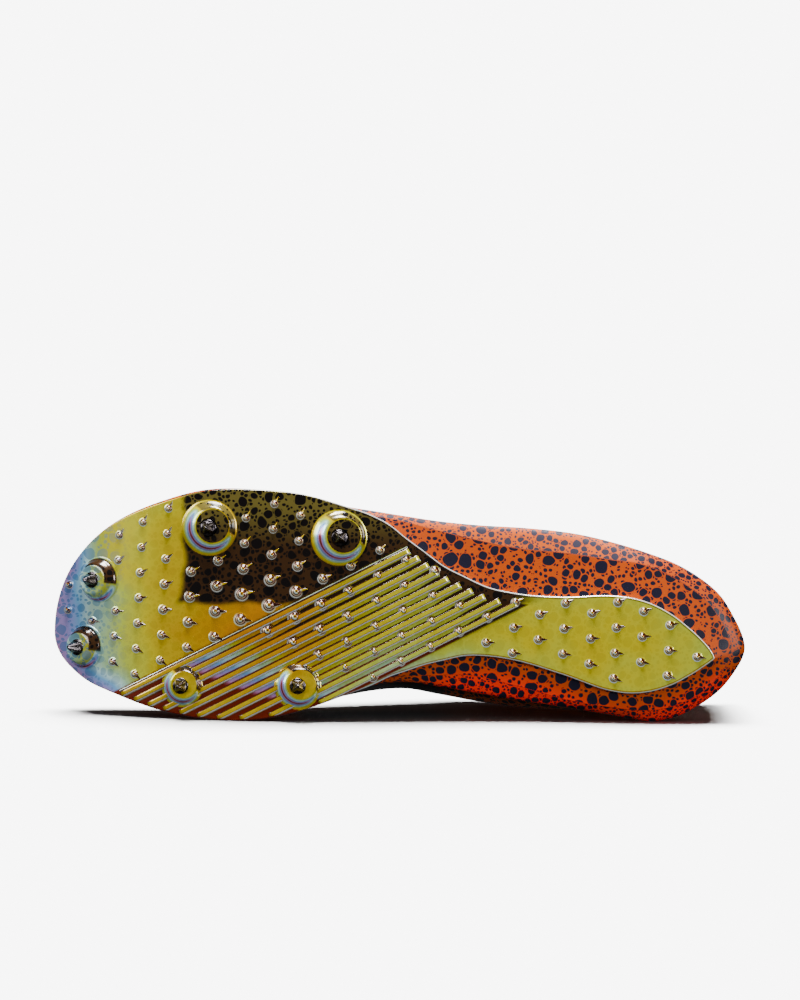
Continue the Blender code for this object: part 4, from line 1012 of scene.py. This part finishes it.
ring = joined(*halves)
x, y = ring[..., 0], ring[..., 1]
# 1 on the side wall above the ridge, where the painted highlight and sheen go
above = np.clip(np.arange(halves[0].shape[1]) - RIDGE_COLUMN, 0, 1)[None, :]
wall = joined(above, above) * step(x, 0.085, 0.12) * step(x, 0.252, 0.222) * step(y, 0.006, -0.006)
# painted shade: deep red along the inner side near the plate's edge
glow = 0.95 * step(np.abs(y + plate_edges(x)[1]), 0.002, 0.012) * step(y, 0.004, 0.012) * step(x, 0.12, 0.16)
flat = joined(*(foam_map(one) for one in halves))
foam_fields = {"glow": glow, "wall": wall, "unrolled": flat}
midsole = new_piece("midsole_foam", [ring], foam, [foam_fields], wraps=True)
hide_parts("midsole")


# Upper
# A thin coated knit, drawn over the last and glued to the foam round the feather line. It is orange with
# small black dots, with a plain charcoal band on the inner side of the arch and a brown stay round the
# throat. Its rim is bound with cloth.

TOE_BOX = 0.0275
INSTEP = 0.071
BULGE_RISE = 0.012
COLLAR_LATERAL = 0.060
COLLAR_MEDIAL = 0.064
HEEL_HEIGHT = 0.080
UPPER_WALL = 0.0016
HEEL_LEAN = 0.009
TOE_LEAN = 0.0024
THROAT_START = 0.088
THROAT_END = 0.170
THROAT_HALF_GAP = 0.013
THROAT_ROUND = 0.010
THROAT_TAPER = 0.3
THROAT_OVERLAP = 0.03
COLLAR_OVERLAP = 0.02
NO_CUT = 2.2
CORNER_ROUND = 0.25

# Top line of the collar: shares of the throat's top height, the collar's dip and the heel's height
COLLAR = columns(
    ("station", "front", "dip", "back"),
    (
        (0.000, 1.00, 0.00, 0.00), (0.600, 1.00, 0.00, 0.00), (0.640, 0.66, 0.34, 0.00),
        (0.680, 0.33, 0.67, 0.00), (0.720, 0.10, 0.90, 0.00), (0.760, 0.00, 1.00, 0.00),
        (0.810, 0.00, 0.95, 0.05), (0.860, 0.00, 0.72, 0.28), (0.910, 0.00, 0.38, 0.62),
        (0.950, 0.00, 0.12, 0.88), (1.000, 0.00, 0.00, 1.00),
    ),
)


def bulge(station):
    """Height of the upper's widest line over the foam."""
    return feather(station) + BULGE_RISE * read(PROFILE, "bulge", station)


def crest(station):
    """Height of the last's ridge, which goes on over the open collar."""
    rise = TOE_BOX * read(PROFILE, "box", station) + INSTEP * read(PROFILE, "instep", station)
    return feather(station) + rise


def half_breadth(station, side):
    """How far the upper's widest line is from the ridge in plan, negative on the inner side."""
    return plan("upper", station, side) - middle(station)


def fullness(station, side):
    """Power that shapes one side of a section."""
    return read(PROFILE, "full_" + SIDE[side], station)


def throat_gap(x):
    """Half the throat's width: round at its front end, then wider towards the collar."""
    past = np.clip(x - THROAT_START, 0, None)
    rounding = np.sqrt(1 - (1 - np.clip(past / THROAT_ROUND, 0, 1)) ** 2)
    return THROAT_HALF_GAP * rounding * (1 - THROAT_TAPER + THROAT_TAPER * past / (THROAT_END - THROAT_START))


def collar_height(station, side):
    """Height of the collar's top line on one side: front, dip and back heights by their shares."""
    front = crest(np.array(THROAT_END / LENGTH))
    dip = COLLAR_LATERAL if side > 0 else COLLAR_MEDIAL
    parts = (("front", front), ("dip", dip), ("back", HEEL_HEIGHT))
    return sum(height * read(COLLAR, name, station) for name, height in parts)


def arch_point(station, side, angle):
    """A point of the last over its widest line: breadth by cosine and height by sine, each to a power."""
    power = fullness(station, side)
    offset = middle(station) + half_breadth(station, side) * np.clip(np.cos(angle), 0, 1) ** power
    rise = np.clip(np.sin(angle), 0, 1) ** power
    height = bulge(station) + (crest(station) - bulge(station)) * rise
    front = FEATHER_INSET + TOE_LEAN * rise
    back = LENGTH - FEATHER_INSET - HEEL_LEAN * rise**1.8
    return np.stack([front + (back - front) * station, -offset, height], axis=-1)


def cut_angle(station, side):
    """Angle where the upper ends: the lesser of the throat's and the collar's, with the corner rounded."""
    power = fullness(station, side)
    breadth = np.abs(half_breadth(station, side))
    share = np.clip(throat_gap(station * LENGTH) / np.maximum(breadth, THROAT_HALF_GAP), 0, 1)
    throat = np.where(station > THROAT_END / LENGTH + THROAT_OVERLAP, NO_CUT, np.arccos(share ** (1 / power)))
    rise = (collar_height(station, side) - bulge(station)) / (crest(station) - bulge(station))
    collar = np.arcsin(np.clip(rise, 0, 1) ** (1 / power))
    collar = np.where((rise >= 1) | (station < THROAT_END / LENGTH - COLLAR_OVERLAP), NO_CUT, collar)
    return np.minimum(throat, collar) - np.clip(CORNER_ROUND - np.abs(throat - collar), 0, None) ** 2


def side_wall(station, side, tuck_cuts, arch_cuts, top=1.0):
    """Half of the upper as a grid: rows along the shoe, columns from the feather line to the rim."""
    foot = feather_offset(station, side)
    wide = middle(station) + half_breadth(station, side)
    low, high = feather(station) + GAP, bulge(station)
    columns_of = []
    for share in np.linspace(0, 1, tuck_cuts + 1)[:-1]:
        offset = wide - (wide - foot) * (1 - share) ** 2
        columns_of.append(np.stack([feather_x(station), -offset, low + (high - low) * share], axis=-1))
    limit = cut_angle(station, side) * top
    columns_of += [arch_point(station, side, limit * share) for share in np.linspace(0, 1, arch_cuts + 1)]
    return np.stack(columns_of, axis=1)


def upper_stations(vamp_rows, quarter_rows):
    """Stations that crowd at the toe, at the throat's front end and at the heel."""
    begin = math.acos(1 - 2 * THROAT_START / LENGTH) / math.pi
    quarter = begin + (1 - begin) * np.linspace(0, 1, quarter_rows)[1:] ** 1.25
    return (1 - np.cos(math.pi * np.concatenate([np.linspace(0, begin, vamp_rows), quarter]))) / 2


knit, tree = new_finish("upper_orange", 0.5, sheen=0.02, coat=0.03, coat_roughness=0.35, specular=0.14)
dots = spots(tree, field(tree, "unrolled"), 0.0052, 0.46, 0.07)
base = blend(tree, noise(tree, 45.0, 3.0), (0.34, 0.050, 0.000), (0.42, 0.072, 0.000))
base = blend(tree, dots, base, (0.010, 0.010, 0.014))
base = blend(tree, threshold(tree, field(tree, "stay"), -0.06, 0.06), base, (0.060, 0.016, 0.004))
base = blend(tree, field(tree, "band"), base, (0.030, 0.028, 0.032))
turned = node(tree, "Mapping", field(tree, "last"), None, (0, 0, 0.6))[0]
threads = node(tree, "TexWave", turned, 900.0, 1.5, 2.0, bands_direction="Z")["Fac"]
surface(tree, base, None, threads, 0.25, 0.00015)

# The main creases: three flex folds across the vamp, then two round the ankle; each is its start along
# the shoe, its slant, and its breadth and depth
VAMP_FOLDS = ((0.066, 0.10, 0.0028, 0.0009), (0.075, 0.02, 0.0024, 0.0007), (0.083, -0.06, 0.0030, 0.0006))
ANKLE_FOLDS = ((0.205, 0.55, 0.0045, 0.0009), (0.222, 0.70, 0.0038, 0.0006))


def creases(points, side):
    """Soft folds pressed into the upper, as a depth at each point.

    Flex folds run across the vamp behind the toes and stand steepest near the widest line, and two
    shallow ones bend round the ankle; each is a bell across its own line, faded out at its ends.
    """
    x, y, z = np.moveaxis(points, -1, 0)
    depth = np.zeros_like(x)
    for start, slant, wide, deep in VAMP_FOLDS:
        bell = deep * np.exp(-(((x - start - slant * (z - 0.03)) / wide) ** 2))
        depth += bell * step(z, 0.012, 0.022) * (0.75 + 0.25 * np.sin(120 * y))
    for start, slant, wide, deep in ANKLE_FOLDS:
        bell = deep * np.exp(-(((x - start + slant * (z - 0.05)) / wide) ** 2))
        depth += bell * np.exp(-(((z - 0.048) / 0.014) ** 2)) * (1.0 if side < 0 else 0.7)
    return depth


def pressed(points, depth):
    """Move a grid of points inwards by a depth along its unit normal."""
    normal = grid_normal(points)
    inside = np.array([0.14, -0.008, 0.03]) - points
    normal *= np.sign((normal * inside).sum(axis=-1, keepdims=True))
    return points + normal * (depth + 0 * points[..., 0])[..., None]


def upper_map(points, station, side):
    """A flat map of one half of the upper.

    One way is the length along each column of points from mid-foot, the other the length across from the
    last's ridge, which goes on over the throat and the collar.
    """
    along = run_length(points, 0)
    along -= along[np.argmin(np.abs(station - 0.5))]
    across = run_length(points, 1)
    limit = cut_angle(station, side)
    to_ridge = math.pi / 2 - limit
    rest = [arch_point(station, side, limit + to_ridge * share) for share in np.linspace(0, 1, 13)]
    beyond = run_length(np.stack(rest), 0)[-1]
    return np.stack([along, side * (across[:, -1:] - across + beyond[:, None]), 0 * along], axis=-1)


STAY_FRONT = 0.100
STAY_WIDTH = 0.0262
STAY_END = 0.178
BINDING_RADIUS = 0.0014
SEAM_INSET = 0.0042
STAY_SEAM_INSET = 0.0022
grids, fields, rims, seams = [], [], [], []
station = upper_stations(90, 170)
for side in (1, -1):
    grid = side_wall(station, side, 12, 60)
    depth = np.where(np.abs(grid[..., 0] - 0.14) > 0.137, 0, creases(grid, side))
    depth[:, -2:] = 0
    depth[:, :3] = 0
    grid = pressed(grid, depth)
    x, y, z = np.moveaxis(grid, -1, 0)
    slant = 0.12 * (x - 0.13)
    band = step(x, 0.097, 0.101) * step(x, 0.166, 0.156) * step(z, 0.046 + slant, 0.042 + slant) * (side < 0)
    from_ridge = np.hypot(np.clip(STAY_FRONT - x, 0, 1), y + middle(station)[:, None])
    stay = np.clip(1000 * np.minimum(STAY_WIDTH - from_ridge, STAY_END - x), -8, 8) - 20 * step(z, 0.03, 0.02)
    grids.append(grid)
    fields.append({"band": band, "unrolled": upper_map(grid, station, side), "stay": stay})
    open_rows = cut_angle(station, side) < math.pi / 2 - 0.01
    rims.append(pressed(grid, BINDING_RADIUS)[open_rows, -1])
    seam = [
        [np.interp(total[-1] - SEAM_INSET, total, row[:, axis]) for axis in range(3)]
        for total, row in zip(run_length(grid, 1)[open_rows], grid[open_rows])
    ]
    seams.append(np.array(seam))
upper = new_piece("upper_knit", grids, knit, fields, wall=UPPER_WALL)
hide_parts("upper")


# Binding, lining and stitches
# A narrow charcoal cloth is bound round throat and collar, and a thin lining of the same cloth is glued in
# from the vamp back. Thick orange thread holds them in two rows of short stitches.

BINDING_DROP = 0.0006
LINING_START = 0.150
LINING_WALL = 0.0004
LINING_DEPTH = UPPER_WALL + 0.0002
LINING_TOP = 0.995
LINING_HEEL = 0.277
LINING_HEEL_DEPTH = 0.0017
STITCH_LENGTH = 0.0021
STITCH_PITCH = 0.0030
THREAD_RADIUS = 0.00026


def distinct(line, gap):
    """Drop the points of a line that are closer than a gap to the one before."""
    return line[np.concatenate([[True], np.linalg.norm(np.diff(line, axis=0), axis=-1) > gap])]


def rope(line, radius, sides=8, ends=1.0):
    """A round tube along a line of points, with its outward directions; ends is a radius share by point."""
    along = unit(np.gradient(line, axis=0))
    out = line - np.stack([line[:, 0], 0 * line[:, 0] - 0.008, 0 * line[:, 0] + 0.02], axis=-1)
    out = unit(out - (out * along).sum(axis=-1, keepdims=True) * along)
    turns = np.linspace(0, 2 * math.pi, sides + 1)[:-1, None]
    ring = np.cos(turns) * out[:, None] + np.sin(turns) * np.cross(along, out)[:, None]
    return line[:, None] + (radius * ends * np.ones(len(line)))[:, None, None] * ring, out


def stitched(line):
    """Short raised stitches along a line on the upper, each a small rod that dips into it at both ends."""
    reach = run_length(line, 0)
    rods = []
    for begin in np.arange(0.5 * STITCH_PITCH, reach[-1] - STITCH_LENGTH, STITCH_PITCH):
        at = begin + STITCH_LENGTH * np.array([0, 0.12, 0.5, 0.88, 1.0])
        rod = np.stack([np.interp(at, reach, line[:, axis]) for axis in range(3)], axis=-1)
        _, out = rope(rod, THREAD_RADIUS)
        rod = rod + out * np.array([-0.0004, 0.0, 0.00012, 0.0, -0.0004])[:, None]
        rods.append(rope(rod, THREAD_RADIUS, 6, np.array([0.05, 0.9, 1.0, 0.9, 0.05]))[0])
    return rods


binding_cloth, tree = new_finish("binding_cloth", 0.8, sheen=0.3)
twill = waves(tree, "DIAGONAL", 420.0, 2.0, 1.0)
surface(tree, blend(tree, twill, (0.018, 0.017, 0.020), (0.050, 0.048, 0.054)))
rim = distinct(np.concatenate([rims[0], rims[1][::-1]]), 0.0004)
rim = np.concatenate([rim[-2:], rim, rim[:2]]) - np.array([0, 0, BINDING_DROP])
bound, _ = rope(rim, BINDING_RADIUS, 10)
bound = np.concatenate([bound[1:-2], bound[1:2]])
new_piece("collar_binding", [bound], binding_cloth, wraps=True)

station = upper_stations(40, 110)
station = station[station * LENGTH > LINING_START]
grids = []
for side in (1, -1):
    grid = side_wall(station, side, 4, 30, LINING_TOP)
    depth = LINING_DEPTH + creases(grid, side)
    grids.append(pressed(grid, np.where(grid[..., 0] > LINING_HEEL, LINING_HEEL_DEPTH, depth)))
new_piece("upper_lining", grids, binding_cloth, wall=LINING_WALL)


def on_instep(x, offset, lift=0.0):
    """Points of the last near its ridge, at lengths and offsets from it, lifted straight up."""
    front, back = FEATHER_INSET + TOE_LEAN, LENGTH - FEATHER_INSET - HEEL_LEAN
    station = np.clip((x - front) / (back - front), 0, 1)
    found = []
    for side in (1, -1):
        share = np.clip(np.abs(offset) / np.abs(half_breadth(station, side)), 0, 1)
        found.append(arch_point(station, side, np.arccos(share ** (1 / fullness(station, side)))))
    points = np.where((offset > 0)[..., None], found[0], found[1])
    points[..., 2] += lift
    return points


thread, tree = new_finish("thread", 0.6, sheen=0.2)
twist = waves(tree, "DIAGONAL", 1500.0, 0.0, 0.0)
surface(tree, blend(tree, twist, (0.30, 0.050, 0.004), (0.62, 0.130, 0.010)))
rods = []
for line in seams:
    rods += stitched(distinct(line, 0.0002)[3:-3])
turn = np.linspace(-math.pi / 2, math.pi / 2, 60)
straight = np.linspace(STAY_END - 0.003, STAY_FRONT, 50)[:-1]
beside = np.ones(len(straight))
stay_reach = STAY_WIDTH - STAY_SEAM_INSET
stay_x = np.concatenate([straight, STAY_FRONT - stay_reach * np.cos(turn), straight[::-1]])
stay_out = stay_reach * np.concatenate([-beside, np.sin(turn), beside])
rods += stitched(on_instep(stay_x, stay_out))
new_piece("upper_stitches", rods, thread, wraps=True)


# Tongue and footbed
# The tongue is charcoal cloth over thin foam, sewn in under the vamp. The footbed is a pressed foam sheet
# faced with black textile, laid in loose on the foam.

TONGUE_START = 0.076
TONGUE_STAND = 0.016
TONGUE_HALF_WIDTH = 0.021
TONGUE_ROUNDING = 0.35
TONGUE_THICKNESS = 0.0025
TONGUE_PUFF = 0.0004


def woven(name, colour, scale):
    """A cloth finish: two crossed waves lift its threads, and the hollows between them are painted darker as
    painted shade.
    """
    finish, tree = new_finish(name, 0.85, sheen=0.35)
    threads = maths(tree, "MULTIPLY", *(waves(tree, way, scale, 1.0, 1.0) for way in ("X", "Y")))
    # painted shade in the hollows between the threads
    dark = tuple(0.45 * c for c in colour)
    surface(tree, blend(tree, threads, dark, colour), None, threads, 0.5, 0.0003)
    return finish


tongue_cloth = woven("tongue_cloth", (0.055, 0.053, 0.058), 700.0)
u, v = np.linspace(0, 1, 60)[:, None], np.linspace(-1, 1, 34)
x = TONGUE_START + (THROAT_END + TONGUE_STAND - TONGUE_START) * u
rounding = 1 - TONGUE_ROUNDING * np.clip((x - THROAT_END) / TONGUE_STAND, 0, 1) ** 2
face = pressed(on_instep(x + 0 * v, TONGUE_HALF_WIDTH * rounding * v), UPPER_WALL + 2 * GAP)
puff = 0.0006 * (1 - v**8) * (1 - np.clip(2 * u - 1, 0, 1) ** 12) * (0.75 + 0.25 * np.cos(u * 40))
tongue = new_piece(
    "tongue_pad", [pressed(face, TONGUE_PUFF - puff)], tongue_cloth, out=(0, 0, 1),
    wall=TONGUE_THICKNESS - TONGUE_PUFF)
soften = tongue.modifiers.new("Round", "BEVEL")
soften.width = 0.0007
soften.segments = 3
soften.limit_method = "ANGLE"
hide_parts("tongue")

INSOLE_INSET = 0.0030
INSOLE_FRONT = 0.0072
INSOLE_BACK = 0.0036
INSOLE_THICKNESS = 0.003

# Half of the footbed's outline, as shares of its half width and of its thickness
BED_HALF = ((0.985, 0.0), (1.0, 0.15), (1.0, 0.8), (0.97, 1.0), (0.6, 1.0), (0.3, 1.0))
insole_cloth = woven("insole_cloth", (0.030, 0.030, 0.034), 900.0)
station = crowded(120)
front, back = FEATHER_INSET + INSOLE_FRONT, FEATHER_INSET + INSOLE_BACK
x = front + (LENGTH - front - back) * station
low = feather((x - FEATHER_INSET) / (LENGTH - 2 * FEATHER_INSET)) + GAP
shrink = 1 - INSOLE_INSET / (0.8 * HALF_BREADTH * BALL_WIDTH)
keys = []
for share, up in ((0.0, 0.0), *BED_HALF, *((-share, up) for share, up in BED_HALF[::-1])):
    side = 1 if share > 0 else -1
    offset = middle(station) + (feather_offset(station, side) - middle(station)) * shrink * abs(share)
    keys.append(np.stack([x, -offset, low + INSOLE_THICKNESS * up], axis=-1))
insole = new_piece("insole_bed", [np.stack(keys, axis=1)], insole_cloth, wraps=True)
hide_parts("insole")


# Lace and eyelets
# A flat woven cord, crossed through seven pairs of eyelets and ended at the top pair, where the hidden
# ends go in. The eyelets are punched holes with a pressed film ring round each.

EYELET_PAIRS = 7
EYELET_START = 0.097
EYELET_PITCH = 0.0115
EYELET_INSET = 0.0065
EYELET_RADIUS = 0.0030
EYELET_TUBE = 0.0006
LACE_WIDTH = 0.0055
LACE_THICKNESS = 0.0013
LACE_LOW = 0.0005
LACE_OVER = 0.0022
LACE_DIP = -0.0022

lace_cord = woven("lace_cord", (0.045, 0.045, 0.050), 1300.0)
reach = THROAT_HALF_GAP + EYELET_INSET


def lace_run(start, end, lifts):
    """One flat run of lace between two places given as length and offset from the ridge.

    A rounded flat profile is carried along a line that lies on the last, at the given lifts.
    """
    share = np.linspace(0, 1, 40)
    start, end = np.array(start), np.array(end)
    along = (end - start) / np.linalg.norm(end - start)
    square = np.array([-along[1], along[0]])
    turns = np.linspace(0, 2 * math.pi, 21)[:-1]
    flat = np.sign(np.cos(turns)) * np.abs(np.cos(turns)) ** 0.6
    thick = np.sign(np.sin(turns)) * np.abs(np.sin(turns)) ** 0.8
    lift = np.interp(share, np.linspace(0, 1, len(lifts)), lifts)
    line = start + np.outer(share, end - start)
    spot = line[:, None, :] + square * (LACE_WIDTH / 2 * flat)[None, :, None]
    height = lift[:, None] + LACE_THICKNESS / 2 * (1 + thick)
    return on_instep(spot[..., 0], spot[..., 1], height)


bar = (-0.002, LACE_LOW, LACE_LOW, LACE_LOW, -0.002)
under = (LACE_DIP, *[LACE_LOW] * 5, LACE_DIP)
over = (LACE_DIP, LACE_LOW, 0.0012, LACE_OVER, 0.0012, LACE_LOW, LACE_DIP)
grids = [lace_run((EYELET_START, -reach), (EYELET_START, reach), bar)]
for number in range(EYELET_PAIRS - 1):
    low_x = EYELET_START + EYELET_PITCH * number
    side = reach if number % 2 else -reach
    grids.append(lace_run((low_x, side), (low_x + EYELET_PITCH, -side), under))
    grids.append(lace_run((low_x, -side), (low_x + EYELET_PITCH, side), over))
lace = new_piece("lace_cord", grids, lace_cord, wraps=True)
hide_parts("lace")

eyelet, tree = new_finish("eyelet_film", 0.35, coat=0.4)
film_grain = ((0.3, (0.02, 0.02, 0.022)), (0.7, (0.05, 0.05, 0.055)))
surface(tree, ramp(tree, noise(tree, 800.0, 2.0), film_grain))
turns = np.linspace(0, 2 * math.pi, 25)[:, None]
tube = np.linspace(0, 2 * math.pi, 9)[:-1]
wide = EYELET_RADIUS + EYELET_TUBE * np.cos(tube)
lift = 0.0002 + 0.0004 * np.sin(tube) + 0 * turns
grids = []
for number in range(EYELET_PAIRS):
    for side in (1, -1):
        x = EYELET_START + EYELET_PITCH * number + wide * np.cos(turns)
        grids.append(on_instep(x, side * reach + 1.1 * wide * np.sin(turns), lift))
new_piece("eyelet_rings", grids, eyelet, wraps=True)


# Floor and lights
# A plain pale paper floor, lit evenly by five soft suns that reach the floor alone. The shoe is lit by
# four panels: one overhead, one to each side before the sole and one behind.

FLOOR_REACH = 400.0
PAPER = (0.90, 0.90, 0.90, 1)
paper, tree = new_finish("paper", 0.9, specular=0.0)
tree.nodes["Principled BSDF"].inputs["Base Color"].default_value = PAPER
mesh = bpy.data.meshes.new("floor")
corners = [(-1, -1), (1, -1), (1, 1), (-1, 1)]
mesh.from_pydata([(FLOOR_REACH * x, FLOOR_REACH * y, 0) for x, y in corners], [], [(0, 1, 2, 3)])
mesh.materials.append(paper)
floor = bpy.data.objects.new("floor", mesh)
bpy.context.scene.collection.objects.link(floor)
floor.visible_diffuse = False
floor.visible_glossy = False
ground = bpy.data.collections.new("ground")
ground.objects.link(floor)

world = bpy.data.worlds.new("studio")
world.use_nodes = True
world.node_tree.nodes["Background"].inputs["Color"].default_value = (1, 1, 1, 1)
world.node_tree.nodes["Background"].inputs["Strength"].default_value = 0.05
bpy.context.scene.world = world


def lamp(name, kind, place, size, strength, lit):
    """A soft light at a place that looks at the shoe; size is a panel's side or a sun's angle in degrees."""
    light = bpy.data.lights.new(name, kind)
    light.energy = strength
    if kind == "SUN":
        light.angle = math.radians(size)
    else:
        light.size = size
    made = bpy.data.objects.new(name, light)
    bpy.context.scene.collection.objects.link(made)
    made.location = place
    made.rotation_euler = (Vector((0, 0, 0.04)) - Vector(place)).to_track_quat("-Z", "Y").to_euler()
    made.light_linking.receiver_collection = lit


lamp("flood_left", "SUN", (-0.8, 0.9, 3), 20, 5.6, ground)
lamp("flood_mid_left", "SUN", (-0.4, 0.4, 3), 16, 5.6, ground)
lamp("flood_middle", "SUN", (0, 1.4, 3), 14, 7.0, ground)
lamp("flood_mid_right", "SUN", (0.4, 0.5, 3), 16, 5.6, ground)
lamp("flood_right", "SUN", (0.8, 1.2, 3), 20, 5.6, ground)
lamp("overhead", "AREA", (-0.05, -0.05, 0.9), 0.4, 34, shoe_pieces)
lamp("left", "AREA", (-1.5, -1.0, 0.8), 0.9, 26, shoe_pieces)
lamp("right", "AREA", (1.4, -1.2, 0.5), 0.7, 30, shoe_pieces)
lamp("back", "AREA", (0.5, 1.6, 0.9), 1.2, 26, shoe_pieces)
